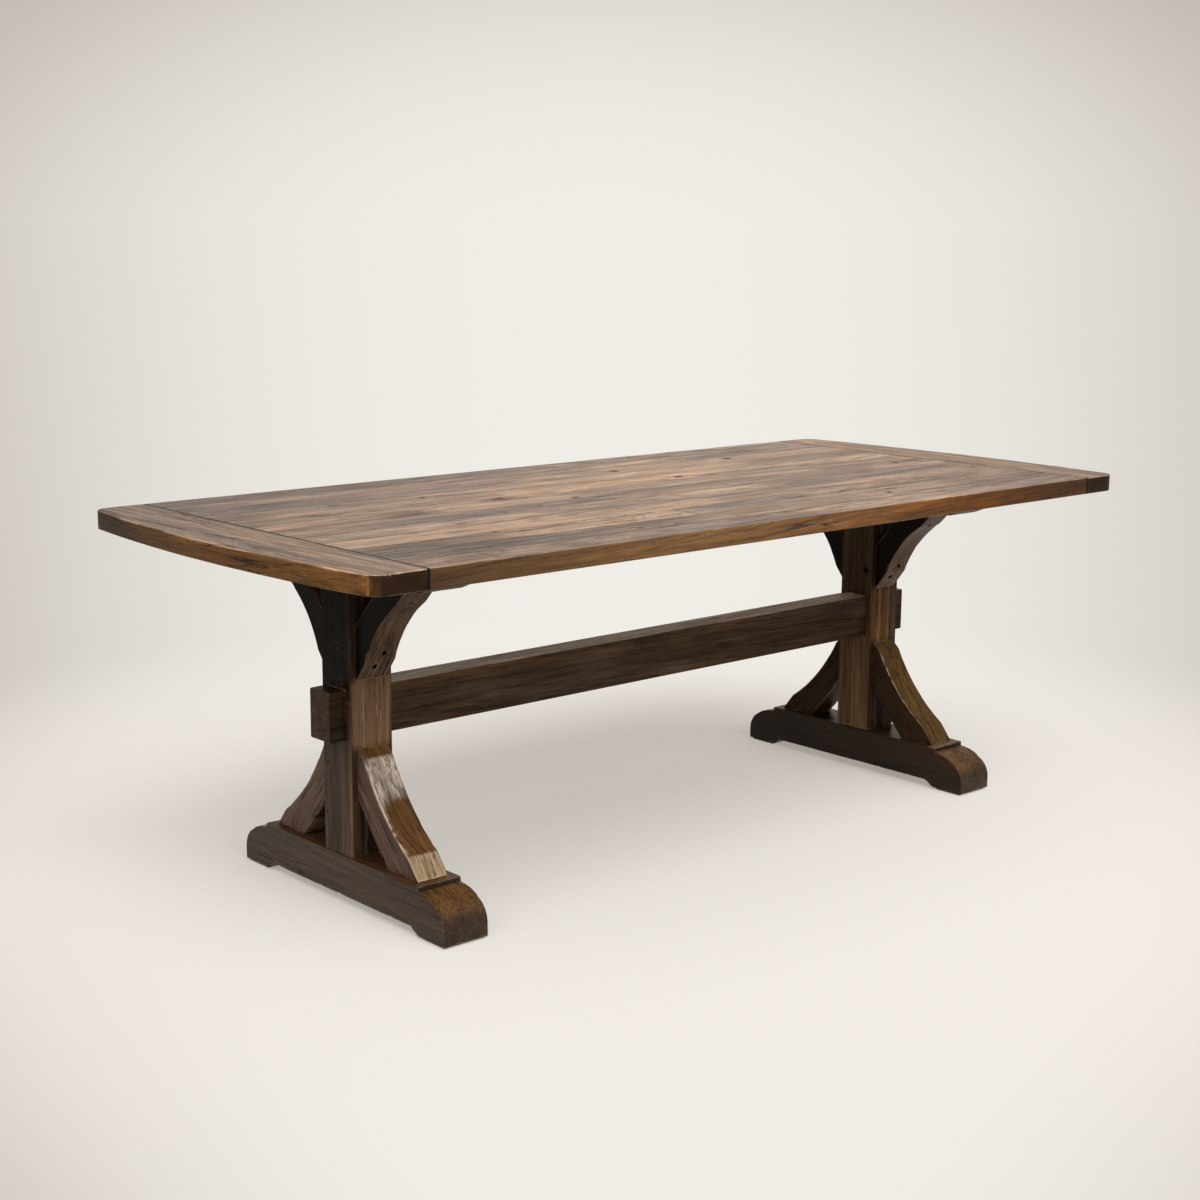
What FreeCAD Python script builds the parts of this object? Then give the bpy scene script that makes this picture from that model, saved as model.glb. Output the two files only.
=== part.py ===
import FreeCAD, Part
import math
import os
import Sketcher
from FreeCAD import Placement, Rotation, Vector

# Trestle dining table in millimetres.
# X runs along the table, Y across it and Z up; the origin is on the floor under the centre.
# "left" is the -X end, "front" is the -Y side.

DRIVING_SIZES = (
    # table top
    ("table_height", 762.0, "floor to the top face"),
    ("top_thickness", 38.5, "staves and breadboard ends"),
    ("top_width", 988.0, "front edge to back edge"),
    ("field_length", 1912.0, "length of the stave field between the two ends"),
    ("stave_rows", 12.0, "rows of staves across the field"),
    ("joint_stagger", 150.0, "step by which the butt joints shift from row to row"),
    ("end_width", 115.0, "breadboard end, seam to corner"),
    ("end_bow", 34.0, "extra width of a breadboard end at its middle"),
    ("corner_radius", 40.0, "plan radius of the four corners"),
    ("top_arris", 3.0, "rounding of the top's outer edges"),
    ("seam_bevel", 1.5, "bevels that make the V groove at each seam"),
    # tongue, groove and pegs of the breadboard ends
    ("tongue_thickness", 13.0, "tongue on the end of the stave field"),
    ("tongue_length", 25.0, "how far the tongue enters the breadboard end"),
    ("tongue_shoulder", 32.0, "where the tongue stops short of the side edges"),
    ("tongue_clearance", 0.2, "groove clearance above and below the tongue"),
    ("groove_end_gap", 2.0, "room past the tongue for movement of the wood"),
    ("peg_radius", 5.0, "pegs through groove and tongue"),
    ("peg_cover", 6.5, "wood left above a peg hole"),
    ("peg_play", 3.0, "half of the extra slot length in the tongue"),
    # bearers under the top
    ("bearer_length", 700.0, "along Y"),
    ("bearer_margin", 0.5, "bearer past the post on each side"),
    ("bearer_depth", 54.0, "underside of the top to underside of the bearer"),
    ("bearer_bevel_run", 70.0, "length of the rising cut at each end"),
    ("bearer_nose", 25.0, "thickness left at the very end"),
    ("bearer_arris", 2.0, "rounding of the lower long edges"),
    # pedestals
    ("pedestal_inset", 186.0, "seam of the breadboard end to the middle of the post"),
    ("post_width", 99.0, "three laminated boards, along X"),
    ("post_depth", 98.5, "along Y"),
    ("post_arris", 3.0, "rounding of the post's vertical edges"),
    ("tenon_width", 60.0, "post tenons, along Y"),
    ("foot_tenon", 50.0, "tenon length into the foot"),
    ("bearer_tenon", 36.0, "tenon length into the bearer"),
    ("mortise_gap", 1.5, "room past the end of a blind tenon"),
    # feet
    ("foot_length", 700.0, "along Y"),
    ("foot_margin", 3.0, "foot past the post on each side"),
    ("foot_height", 102.0, "floor to the top of the foot"),
    ("foot_step", 10.0, "height of the square step above the rounded nose"),
    ("foot_step_inset", 85.0, "step to the end of the foot"),
    ("foot_nose_rise", 26.0, "vertical stretch under the rounded nose"),
    ("foot_nose_radius", 50.0, "tighter, lower radius of the nose"),
    ("foot_relief", 14.0, "height of the hollow under the foot"),
    ("foot_relief_inset", 80.0, "where that hollow starts, from the end"),
    ("foot_relief_run", 36.0, "length of its S-shaped ramp"),
    ("foot_arris", 2.5, "rounding of the foot's side edges"),
    # glides
    ("glide_thickness", 4.0, "pad under each end of a foot"),
    ("glide_length", 70.0, "along Y"),
    ("glide_inset", 6.0, "from the sides of the foot"),
    ("glide_end_inset", 8.0, "from the end of the foot"),
    # braces
    ("brace_thickness", 73.0, "along X"),
    ("brace_arris", 2.0, "rounding of the outer edges"),
    ("brace_ridge", 5.0, "rounding where a bevel meets the hollow"),
    ("brace_back_radius", 1000.0, "slightly hollow inner edge"),
    ("lower_reach", 196.75, "lower brace, out along the foot"),
    ("lower_rise", 223.0, "lower brace, up the post"),
    ("lower_seat", 98.5, "length of its seat on the foot"),
    ("lower_cheek", 100.0, "length of its seat on the post"),
    ("lower_head_run", 24.0, "head bevel, outwards"),
    ("lower_head_drop", 21.5, "head bevel, downwards"),
    ("lower_toe_run", 32.0, "toe bevel, outwards"),
    ("lower_toe_drop", 40.0, "toe bevel, downwards"),
    ("lower_hollow_radius", 420.0, "hollow curve between the bevels"),
    ("upper_reach", 173.0, "upper brace, out along the bearer"),
    ("upper_rise", 209.0, "upper brace, down the post"),
    ("upper_seat", 79.0, "length of its seat under the bearer"),
    ("upper_cheek", 108.0, "length of its seat on the post"),
    ("upper_head_run", 33.0, "post bevel, outwards"),
    ("upper_head_drop", 42.0, "post bevel, upwards"),
    ("upper_toe_run", 38.0, "toe bevel, outwards"),
    ("upper_toe_drop", 39.0, "toe bevel, upwards"),
    ("upper_hollow_radius", 265.0, "hollow curve between the bevels"),
    # stretcher
    ("stretcher_lift", 5.75, "its middle, above the middle between foot and bearer"),
    ("stretcher_height", 101.0, "along Z"),
    ("stretcher_thickness", 67.0, "along Y"),
    ("stretcher_projection", 40.0, "end standing proud of the post"),
    ("stretcher_arris", 3.0, "rounding of its edges"),
    # wood screws of the upper braces
    ("screw_radius", 2.5, "shank"),
    ("screw_bite", 30.0, "depth in the post or bearer"),
    ("head_radius", 4.6, "screw head"),
    ("head_height", 3.0, "screw head"),
    ("head_clearance", 0.6, "radial room in the open hole above a head"),
    ("screw_grip", 12.0, "wood under the head, post screws"),
    ("toe_screw_grip", 22.0, "wood under the head, bearer screw"),
    ("low_screw_inset", 28.5, "lower post screw, above the brace's lower tip"),
    ("high_screw_inset", 56.5, "upper post screw, above the brace's lower tip"),
    ("screw_offset", 6.0, "post screws, either side of the middle"),
    ("toe_screw_inset", 40.2, "bearer screw, from the brace's outer tip"),
    ("pilot_clearance", 0.1, "radial room round shanks, pegs and dowels"),
    ("pilot_gap", 1.5, "room past the point of a screw or dowel"),
    # screws that hold the top
    ("top_screw_radius", 3.0, "shank"),
    ("top_screw_bite", 26.0, "depth in the top"),
    ("top_screw_post_gap", 56.75, "inner pair, out from the post"),
    ("top_screw_bevel_gap", 18.0, "outer pair, in from the bearer's bevel"),
    ("top_screw_recess", 20.0, "depth of the counterbore in the bearer"),
    ("top_screw_play", 4.0, "half of the extra slot length"),
    ("washer_radius", 8.0, "washer under each head"),
    ("washer_thickness", 1.5, "washer"),
    ("washer_clearance", 1.0, "radial room round a washer in its counterbore"),
    # dowels of the lower braces
    ("dowel_radius", 5.0, "hidden dowels"),
    ("dowel_bite", 25.0, "depth in each of the two pieces"),
    ("post_dowel_inset", 65.0, "post dowel, below the brace's upper tip"),
    ("foot_dowel_inset", 50.75, "foot dowel, in from the brace's outer tip"),
    # screws that lock the stretcher in the posts
    ("lock_screw_radius", 3.0, "shank"),
    ("lock_screw_bite", 30.0, "depth in the stretcher"),
    ("lock_head_radius", 6.0, "sunk head, also of the top screws"),
    ("lock_head_height", 4.0, "sunk head, also of the top screws"),
    # nails of the glides
    ("nail_radius", 1.25, "shank"),
    ("nail_bite", 16.0, "depth in the foot"),
    ("nail_head_radius", 3.0, "flat head"),
    ("nail_head_height", 1.0, "flat head"),
    ("nail_recess", 2.0, "nail head seat, above the floor"),
    ("nail_spread", 20.0, "nails, either side of the glide's middle"),
)

PEGS_PER_END = 4
ROWS_PER_PEG = 3
# A hair over a half circle's radius, so that a slot's end arc has one clear centre.
SLOT_EASE = 1.0005
# How far inside the line from toe to head a brace's show side may lie, as a share of it.
HOLLOW_SHARE = 0.3
THROUGH = None
SIDES = (("left", -1), ("right", 1))
FACES = (("front", -1), ("back", 1))
Z_AXIS = Vector(0, 0, 1)

doc = FreeCAD.newDocument("trestle_table")


# ---------------------------------------------------------------- sizes

class Size:
    """A length that carries its value and the sheet expression that it comes from."""

    def __init__(self, value, text):
        self.value = float(value)
        self.text = text

    @staticmethod
    def of(number):
        return number if isinstance(number, Size) else Size(number, repr(float(number)))

    def join(self, other, sign, value):
        return Size(value, "(" + self.text + sign + other.text + ")")

    def __add__(self, other):
        other = Size.of(other)
        return self.join(other, " + ", self.value + other.value)

    def __sub__(self, other):
        other = Size.of(other)
        return self.join(other, " - ", self.value - other.value)

    def __mul__(self, other):
        other = Size.of(other)
        return self.join(other, " * ", self.value * other.value)

    def __truediv__(self, other):
        other = Size.of(other)
        return self.join(other, " / ", self.value / other.value)

    def __neg__(self):
        return Size(-self.value, "(-1 * " + self.text + ")")

    def __rsub__(self, other):
        return Size.of(other) - self

    __radd__ = __add__
    __rmul__ = __mul__


class SizeSheet:
    """The document's spreadsheet: each driving size is a cell with an alias."""

    def __init__(self, rows):
        sheet = doc.addObject("Spreadsheet::Sheet", "Sizes")
        for line, (name, value, note) in enumerate(rows, start=1):
            sheet.set("A" + str(line), name)
            sheet.set("B" + str(line), str(value))
            sheet.set("C" + str(line), note)
            sheet.setAlias("B" + str(line), name)
            setattr(self, name, Size(value, "Sizes." + name))
        doc.recompute()


S = SizeSheet(DRIVING_SIZES)
ZERO = Size(0, "0")

top_underside = S.table_height - S.top_thickness
bearer_underside = top_underside - S.bearer_depth
foot_underside = S.glide_thickness
half_top = S.top_width / 2
half_field = S.field_length / 2
half_pedestals = half_field - S.pedestal_inset
half_post = S.post_depth / 2
half_foot = S.foot_length / 2
half_bearer = S.bearer_length / 2
stave_width = S.top_width / S.stave_rows
board_thickness = S.post_width / 3
foot_width = S.post_width + S.foot_margin * 2
bearer_width = S.post_width + S.bearer_margin * 2
tongue_bottom = (S.top_thickness - S.tongue_thickness) / 2
tongue_top = tongue_bottom + S.tongue_thickness
peg_line = half_field + S.tongue_length / 2
peg_pitch = stave_width * ROWS_PER_PEG
peg_depth = S.top_thickness - S.peg_cover
stretcher_middle = (S.foot_height + bearer_underside) / 2 + S.stretcher_lift
stretcher_bottom = stretcher_middle - S.stretcher_height / 2
glide_middle = half_foot - S.glide_end_inset - S.glide_length / 2
low_screw_drop = S.upper_rise - S.low_screw_inset
high_screw_drop = S.upper_rise - S.high_screw_inset
toe_screw_out = S.upper_reach - S.toe_screw_inset
head_hole_radius = S.head_radius + S.head_clearance
post_dowel_rise = S.lower_rise - S.post_dowel_inset
foot_dowel_out = S.lower_reach - S.foot_dowel_inset
top_screw_inner = half_post + S.top_screw_post_gap
top_screw_outer = half_bearer - S.bearer_bevel_run - S.top_screw_bevel_gap
recess_radius = S.washer_radius + S.washer_clearance


# ---------------------------------------------------------------- sketches and features

def new_body(label, position=(ZERO, ZERO, ZERO), rotation=Rotation()):
    """An empty body whose placement follows the sheet."""
    body = doc.addObject("PartDesign::Body", label)
    body.Label = label
    base = Vector(*(part.value for part in position))
    body.Placement = Placement(base, rotation)
    for axis, part in zip("xyz", position):
        if part is not ZERO:
            body.setExpression(".Placement.Base." + axis, part.text)
    return body


def new_sketch(body, name, plane, offset=ZERO):
    """A sketch on one of the body's own origin planes, moved along its normal."""
    sketch = body.newObject("Sketcher::SketchObject", name)
    support = next(item for item in body.Origin.OriginFeatures if item.Role == plane)
    sketch.AttachmentSupport = [(support, "")]
    sketch.MapMode = "FlatFace"
    if offset is not ZERO:
        sketch.AttachmentOffset = Placement(Vector(0, 0, offset.value), Rotation())
        sketch.setExpression(".AttachmentOffset.Base.z", offset.text)
    return sketch


def bind(sketch, constraint, size):
    """Adds a dimension to the sketch and ties it to the sheet."""
    index = sketch.addConstraint(constraint)
    name = "size" + str(index)
    sketch.renameConstraint(index, name)
    sketch.setExpression("Constraints." + name, size.text)


def place_point(sketch, edge, end, across, up):
    """Dimensions one end or centre of an edge from the sketch's origin."""
    for kind, axis, size in (("DistanceX", -2, across), ("DistanceY", -1, up)):
        if size is ZERO:
            sketch.addConstraint(Sketcher.Constraint("PointOnObject", edge, end, axis))
        else:
            bind(sketch, Sketcher.Constraint(kind, -1, 1, edge, end, size.value), size)


def arc_between(start, finish, radius, centre_on_left):
    """The short arc from start to finish, always stored counter-clockwise."""
    chord = finish - start
    normal = Vector(-chord.y, chord.x, 0).normalize()
    height = math.sqrt(radius ** 2 - chord.Length ** 2 / 4)
    centre = start + chord / 2 + normal * (height if centre_on_left else -height)
    first, last = (start, finish) if centre_on_left else (finish, start)
    from_angle = math.atan2(first.y - centre.y, first.x - centre.x)
    to_angle = math.atan2(last.y - centre.y, last.x - centre.x)
    circle = Part.Circle(centre, Z_AXIS, radius)
    return Part.ArcOfCircle(circle, from_angle, to_angle)


def add_outline(sketch, corners):
    """Draws a closed outline.

    Each corner is (across, up) and starts a straight edge, or (across, up, radius, side)
    and starts an arc whose centre lies to that side of the way forward.
    """
    points = [Vector(corner[0].value, corner[1].value, 0) for corner in corners]
    edges = []
    for index, corner in enumerate(corners):
        start = points[index]
        finish = points[(index + 1) % len(points)]
        if len(corner) == 2:
            edges.append((sketch.addGeometry(Part.LineSegment(start, finish)), 1, 2))
            continue
        on_left = corner[3] == "left"
        edge = sketch.addGeometry(arc_between(start, finish, corner[2].value, on_left))
        edges.append((edge, 1, 2) if on_left else (edge, 2, 1))
    for index, (edge, _, far_end) in enumerate(edges):
        following, near_end, _ = edges[(index + 1) % len(edges)]
        joint = Sketcher.Constraint("Coincident", edge, far_end, following, near_end)
        sketch.addConstraint(joint)
    for (edge, near_end, _), corner in zip(edges, corners):
        place_point(sketch, edge, near_end, corner[0], corner[1])
        if len(corner) == 4:
            bind(sketch, Sketcher.Constraint("Radius", edge, corner[2].value), corner[2])


def add_rectangle(sketch, left, right, bottom, top):
    add_outline(sketch, ((left, bottom), (right, bottom), (right, top), (left, top)))


def add_circle(sketch, across, up, radius):
    circle = Part.Circle(Vector(across.value, up.value, 0), Z_AXIS, radius.value)
    edge = sketch.addGeometry(circle)
    place_point(sketch, edge, 3, across, up)
    bind(sketch, Sketcher.Constraint("Radius", edge, radius.value), radius)


def add_slot(sketch, across, up, radius, half_play):
    """A round-ended slot along the sketch's vertical."""
    low = up - half_play
    high = up + half_play
    right = across + radius
    left = across - radius
    corners = ((right, low), (right, high, radius * SLOT_EASE, "left"),
               (left, high), (left, low, radius * SLOT_EASE, "left"))
    add_outline(sketch, corners)


def pad(body, sketch, name, length, symmetric=False):
    feature = body.newObject("PartDesign::Pad", name)
    feature.Profile = sketch
    feature.setExpression("Length", length.text)
    if symmetric:
        feature.SideType = "Symmetric"
    doc.recompute()
    return feature


def cut(body, sketch, name, depth=THROUGH, reverse=False):
    """A pocket of the given depth, or right through to both sides."""
    feature = body.newObject("PartDesign::Pocket", name)
    feature.Profile = sketch
    if depth is THROUGH:
        feature.Type = "ThroughAll"
        feature.SideType = "Symmetric"
    else:
        feature.Reversed = reverse
        feature.setExpression("Length", depth.text)
    doc.recompute()
    return feature


def mirror(body, name, features, plane):
    """Repeats features on the other side of one of the body's origin planes."""
    feature = body.newObject("PartDesign::Mirrored", name)
    support = next(item for item in body.Origin.OriginFeatures if item.Role == plane)
    feature.Originals = features
    feature.MirrorPlane = (support, [""])
    body.Tip = feature
    doc.recompute()
    return feature


def round_edges(body, name, radius, wanted):
    """Rounds the edges of the finished shape so far that the test picks."""
    base = body.Tip
    picked = []
    for index, edge in enumerate(base.Shape.Edges, start=1):
        if wanted(edge.BoundBox, edge):
            picked.append("Edge" + str(index))
    feature = body.newObject("PartDesign::Fillet", name)
    feature.Base = (base, picked)
    feature.setExpression("Radius", radius.text)
    doc.recompute()
    return feature


def near(first, second, tolerance=0.01):
    return abs(first - second) < tolerance


def flat_at(low, high, value):
    """True where a box's two limits along one axis both lie at the value."""
    return near(low, value) and near(high, value)


# ---------------------------------------------------------------- loose solids and groups

def rod(name, radius, length, start, direction):
    """A cylinder from a start point along a direction."""
    cylinder = doc.addObject("Part::Cylinder", name)
    cylinder.setExpression("Radius", radius.text)
    cylinder.setExpression("Height", length.text)
    base = Vector(*(part.value for part in start))
    cylinder.Placement = Placement(base, Rotation(Z_AXIS, direction))
    for axis, part in zip("xyz", start):
        if part is not ZERO:
            cylinder.setExpression(".Placement.Base." + axis, part.text)
    return cylinder


def step_along(start, direction, distance):
    """The point a distance further along one of the main directions."""
    moved = []
    for part, share in zip(start, direction):
        if near(share, 0):
            moved.append(part)
        else:
            moved.append(part + distance * share)
    return tuple(moved)


def fuse(name, pieces):
    joined = doc.addObject("Part::MultiFuse", name)
    joined.Shapes = pieces
    return joined


def screw(name, seat, direction, shank, grip, head_radius, head_height):
    """A screw whose head bears on the seat point and whose shank runs along the direction."""
    back = Vector(-direction.x, -direction.y, -direction.z)
    pieces = [rod(name + "_shank", shank, grip, seat, direction),
              rod(name + "_head", head_radius, head_height, seat, back)]
    return fuse(name, pieces)


def group(label, members):
    """One node that holds identical fasteners as separate solids."""
    compound = doc.addObject("Part::Compound", label)
    compound.Label = label
    compound.Links = members
    return compound


# ---------------------------------------------------------------- the top

def row_middle(row):
    """Centreline of a row of staves; row 0 is at the front."""
    return stave_width * (row + 0.5) - half_top


def joint_position(row):
    """Where the two staves of a row meet; the joints step back and forth along the table."""
    return S.joint_stagger * ((4 * row + 1) % 7 - 3)


def peg_positions():
    return [peg_pitch * (index - (PEGS_PER_END - 1) / 2) for index in range(PEGS_PER_END)]


def top_screw_positions():
    return [face * distance for face in (-1, 1)
            for distance in (top_screw_inner, top_screw_outer)]


def reaches_row(position, row, half_size):
    """True where a hole at this Y touches the row's stave."""
    gap = abs(position.value - row_middle(row).value)
    return gap < stave_width.value / 2 + half_size.value


def tongue_profile(sketch, row, side):
    """Stave seen from the front: butt joint at one end, tongue at the other."""
    joint = joint_position(row)
    end = half_field * side
    tip = end + S.tongue_length * side
    bevel = end - S.seam_bevel * side
    add_outline(sketch, (
        (joint, ZERO), (end, ZERO), (end, tongue_bottom), (tip, tongue_bottom),
        (tip, tongue_top), (end, tongue_top), (end, S.top_thickness - S.seam_bevel),
        (bevel, S.top_thickness), (joint, S.top_thickness)))


def trim_tongue(body, side, face):
    """Cuts the tongue back where the groove stops inside the table's side edge."""
    edge = stave_width * face / 2
    stop = edge - S.tongue_shoulder * face
    end = half_field * side
    tip = end + (S.tongue_length + 1) * side
    sketch = new_sketch(body, "shoulder_sketch", "XY_Plane")
    add_rectangle(sketch, end, tip, stop, edge + face)
    cut(body, sketch, "shoulder")


def round_stave(body, face):
    """Rounds the two long edges that show along the side of the table."""
    edge_line = stave_width.value * face / 2
    levels = (0, S.top_thickness.value)

    def outer_long_edge(box, edge):
        on_side = flat_at(box.YMin, box.YMax, edge_line)
        on_level = any(flat_at(box.ZMin, box.ZMax, level) for level in levels)
        return on_side and on_level and box.XLength > S.tongue_length.value
    round_edges(body, "arris", S.top_arris, outer_long_edge)


def make_stave(row, side_name, side):
    label = "top_stave_" + str(row + 1).zfill(2) + "_" + side_name
    middle = row_middle(row)
    body = new_body(label, (ZERO, middle, top_underside))
    outline = new_sketch(body, "profile", "XZ_Plane")
    tongue_profile(outline, row, side)
    pad(body, outline, "board", stave_width, symmetric=True)
    last_row = int(S.stave_rows.value) - 1
    face = {0: -1, last_row: 1}.get(row)
    if face:
        trim_tongue(body, side, face)
    slots = [peg for peg in peg_positions() if reaches_row(peg, row, S.peg_radius + S.peg_play)]
    for index, peg in enumerate(slots):
        sketch = new_sketch(body, "peg_slot_sketch" + str(index), "XY_Plane")
        add_slot(sketch, peg_line * side, peg - middle,
                 S.peg_radius + S.pilot_clearance, S.peg_play)
        cut(body, sketch, "peg_slot" + str(index))
    screws = [y for y in top_screw_positions() if reaches_row(y, row, S.top_screw_radius)]
    for index, position in enumerate(screws):
        sketch = new_sketch(body, "pilot_sketch" + str(index), "XY_Plane")
        add_circle(sketch, half_pedestals * side, position - middle,
                   S.top_screw_radius + S.pilot_clearance)
        cut(body, sketch, "pilot" + str(index), S.top_screw_bite + S.pilot_gap, reverse=True)
    if face:
        round_stave(body, face)
    return body


def make_breadboard_end(side_name, side):
    """Bowed end board with rounded corners, a stopped groove and peg holes."""
    turn = Rotation(Z_AXIS, 0 if side > 0 else 180)
    body = new_body("breadboard_end_" + side_name, (ZERO, ZERO, top_underside), turn)
    shoulder_line = half_field + S.end_width
    bow_radius = (half_top * half_top + S.end_bow * S.end_bow) / (S.end_bow * 2)
    outline = new_sketch(body, "outline", "XY_Plane")
    add_outline(outline, ((half_field, -half_top),
                          (shoulder_line, -half_top, bow_radius, "left"),
                          (shoulder_line, half_top), (half_field, half_top)))
    pad(body, outline, "board", S.top_thickness)

    groove = new_sketch(body, "groove_sketch", "XY_Plane", tongue_bottom - S.tongue_clearance)
    groove_stop = half_top - S.tongue_shoulder
    add_rectangle(groove, half_field - 1, half_field + S.tongue_length + S.groove_end_gap,
                  -groove_stop, groove_stop)
    cut(body, groove, "groove", S.tongue_thickness + S.tongue_clearance * 2, reverse=True)

    pegs = new_sketch(body, "peg_sketch", "XY_Plane")
    for peg in peg_positions():
        add_circle(pegs, peg_line, peg, S.peg_radius + S.pilot_clearance)
    cut(body, pegs, "peg_holes", peg_depth, reverse=True)

    seam = new_sketch(body, "seam_sketch", "XZ_Plane")
    seam_low = S.top_thickness - S.seam_bevel
    add_outline(seam, ((half_field - 1, seam_low - 1), (half_field, seam_low),
                       (half_field + S.seam_bevel, S.top_thickness),
                       (half_field + S.seam_bevel, S.top_thickness + 1),
                       (half_field - 1, S.top_thickness + 1)))
    cut(body, seam, "seam_bevel")

    def outer_corner(box, edge):
        return box.ZLength > S.top_thickness.value / 2 and near(box.XMin, shoulder_line.value)
    round_edges(body, "corners", S.corner_radius, outer_corner)

    def outline_edge(box, edge):
        on_level = any(flat_at(box.ZMin, box.ZMax, level) for level in (0, S.top_thickness.value))
        outside = box.XMax > half_field.value + S.end_width.value / 2
        return on_level and outside and edge.Length > S.peg_radius.value * 7
    round_edges(body, "arris", S.top_arris, outline_edge)
    return body


# ---------------------------------------------------------------- bearers and feet

def half_profile_body(label, side, base_height, corners, width):
    """A bar along Y from one half of its side view, mirrored to the other half."""
    body = new_body(label, (half_pedestals * side, ZERO, base_height))
    outline = new_sketch(body, "half_profile", "YZ_Plane")
    add_outline(outline, corners)
    half = pad(body, outline, "half", width, symmetric=True)
    mirror(body, "whole", [half], "XZ_Plane")
    return body


def make_bearer(side_name, side):
    """Rail under the top; local height 0 is its underside."""
    rise = S.bearer_depth - S.bearer_nose
    corners = ((ZERO, ZERO), (half_bearer - S.bearer_bevel_run, ZERO), (half_bearer, rise),
               (half_bearer, S.bearer_depth), (ZERO, S.bearer_depth))
    body = half_profile_body("bearer_" + side_name, side, bearer_underside, corners,
                             bearer_width)

    def lower_long_edge(box, edge):
        on_side = near(abs(box.Center.x), bearer_width.value / 2) and near(box.XLength, 0)
        return on_side and box.ZMax < rise.value + 1 and box.YLength > 1
    round_edges(body, "arris", S.bearer_arris, lower_long_edge)

    mortise = new_sketch(body, "mortise_sketch", "XY_Plane")
    add_rectangle(mortise, -board_thickness / 2, board_thickness / 2,
                  -S.tenon_width / 2, S.tenon_width / 2)
    cut(body, mortise, "mortise", S.bearer_tenon + S.mortise_gap, reverse=True)

    recesses = new_sketch(body, "recess_sketch", "XY_Plane")
    slots = new_sketch(body, "slot_sketch", "XY_Plane")
    for position in top_screw_positions():
        add_slot(recesses, ZERO, position, recess_radius, S.top_screw_play)
        add_slot(slots, ZERO, position, S.top_screw_radius + S.pilot_clearance,
                 S.top_screw_play)
    cut(body, slots, "screw_slots")
    cut(body, recesses, "screw_recesses", S.top_screw_recess, reverse=True)

    toe_pilots = new_sketch(body, "toe_pilot_sketch", "XY_Plane")
    for face in (-1, 1):
        add_circle(toe_pilots, ZERO, (half_post + toe_screw_out) * face,
                   S.screw_radius + S.pilot_clearance)
    cut(body, toe_pilots, "toe_pilots", S.screw_bite + S.pilot_gap, reverse=True)
    return body


def nose_corners(end, step_line, rise, top):
    """Rounded end of a foot: a tight lower arc running into a flatter upper arc.

    The lower arc leaves the end face upright, the upper one meets the step level, and
    both share one tangent where they join.
    """
    run = end - step_line
    height = top - rise
    low = S.foot_nose_radius
    high = ((run - low) * (run - low) + height * height - low * low) / ((height - low) * 2)
    join_across = end - low + low * (run - low) / (high - low)
    join_up = rise + low * (high - height) / (high - low)
    return ((end, rise, low, "left"), (join_across, join_up, high, "left"))


def make_foot(side_name, side):
    """Sled foot; local height 0 is its underside, one glide above the floor."""
    top = S.foot_height - foot_underside
    step_line = half_foot - S.foot_step_inset
    step_foot = top - S.foot_step
    ramp_end = half_foot - S.foot_relief_inset
    ramp_start = ramp_end - S.foot_relief_run
    quarter_run = S.foot_relief_run / 2
    quarter_rise = S.foot_relief / 2
    ramp_radius = (quarter_run * quarter_run + quarter_rise * quarter_rise) / S.foot_relief
    corners = ((ZERO, S.foot_relief), (ramp_start, S.foot_relief, ramp_radius, "right"),
               (ramp_start + quarter_run, quarter_rise, ramp_radius, "left"),
               (ramp_end, ZERO), (half_foot, ZERO),
               *nose_corners(half_foot, step_line, S.foot_nose_rise, step_foot),
               (step_line, step_foot), (step_line, top), (ZERO, top))
    body = half_profile_body("foot_" + side_name, side, foot_underside, corners, foot_width)

    def side_edge(box, edge):
        on_side = near(abs(box.Center.x), foot_width.value / 2) and near(box.XLength, 0)
        upper = box.ZMax > S.foot_nose_rise.value - 1
        riser = near(abs(box.YMin), step_line.value) and near(box.YLength, 0)
        return on_side and upper and not riser
    round_edges(body, "arris", S.foot_arris, side_edge)

    mortise = new_sketch(body, "mortise_sketch", "XY_Plane", top)
    add_rectangle(mortise, -board_thickness / 2, board_thickness / 2,
                  -S.tenon_width / 2, S.tenon_width / 2)
    cut(body, mortise, "mortise", S.foot_tenon + S.mortise_gap)

    dowels = new_sketch(body, "dowel_sketch", "XY_Plane", top)
    for face in (-1, 1):
        add_circle(dowels, ZERO, (half_post + foot_dowel_out) * face,
                   S.dowel_radius + S.pilot_clearance)
    cut(body, dowels, "dowel_holes", S.dowel_bite + S.pilot_gap)

    nails = new_sketch(body, "nail_sketch", "XY_Plane")
    for face in (-1, 1):
        for offset in (-1, 1):
            add_circle(nails, ZERO, glide_middle * face + S.nail_spread * offset,
                       S.nail_radius + S.pilot_clearance)
    cut(body, nails, "nail_holes", S.nail_bite + S.pilot_gap, reverse=True)
    return body


def make_glide(side_name, side, face_name, face):
    """Pad that keeps an end of the foot off the floor."""
    body = new_body("glide_" + side_name + "_" + face_name,
                    (half_pedestals * side, glide_middle * face, ZERO))
    outline = new_sketch(body, "outline", "XY_Plane")
    half_width = foot_width / 2 - S.glide_inset
    add_rectangle(outline, -half_width, half_width, -S.glide_length / 2, S.glide_length / 2)
    pad(body, outline, "sheet", S.glide_thickness)
    holes = new_sketch(body, "nail_sketch", "XY_Plane")
    seats = new_sketch(body, "seat_sketch", "XY_Plane")
    for offset in (-1, 1):
        add_circle(holes, ZERO, S.nail_spread * offset, S.nail_radius + S.pilot_clearance)
        add_circle(seats, ZERO, S.nail_spread * offset, S.nail_head_radius + S.pilot_clearance)
    cut(body, holes, "nail_holes")
    cut(body, seats, "nail_seats", S.nail_recess, reverse=True)
    return body


# ---------------------------------------------------------------- posts and stretcher

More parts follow.
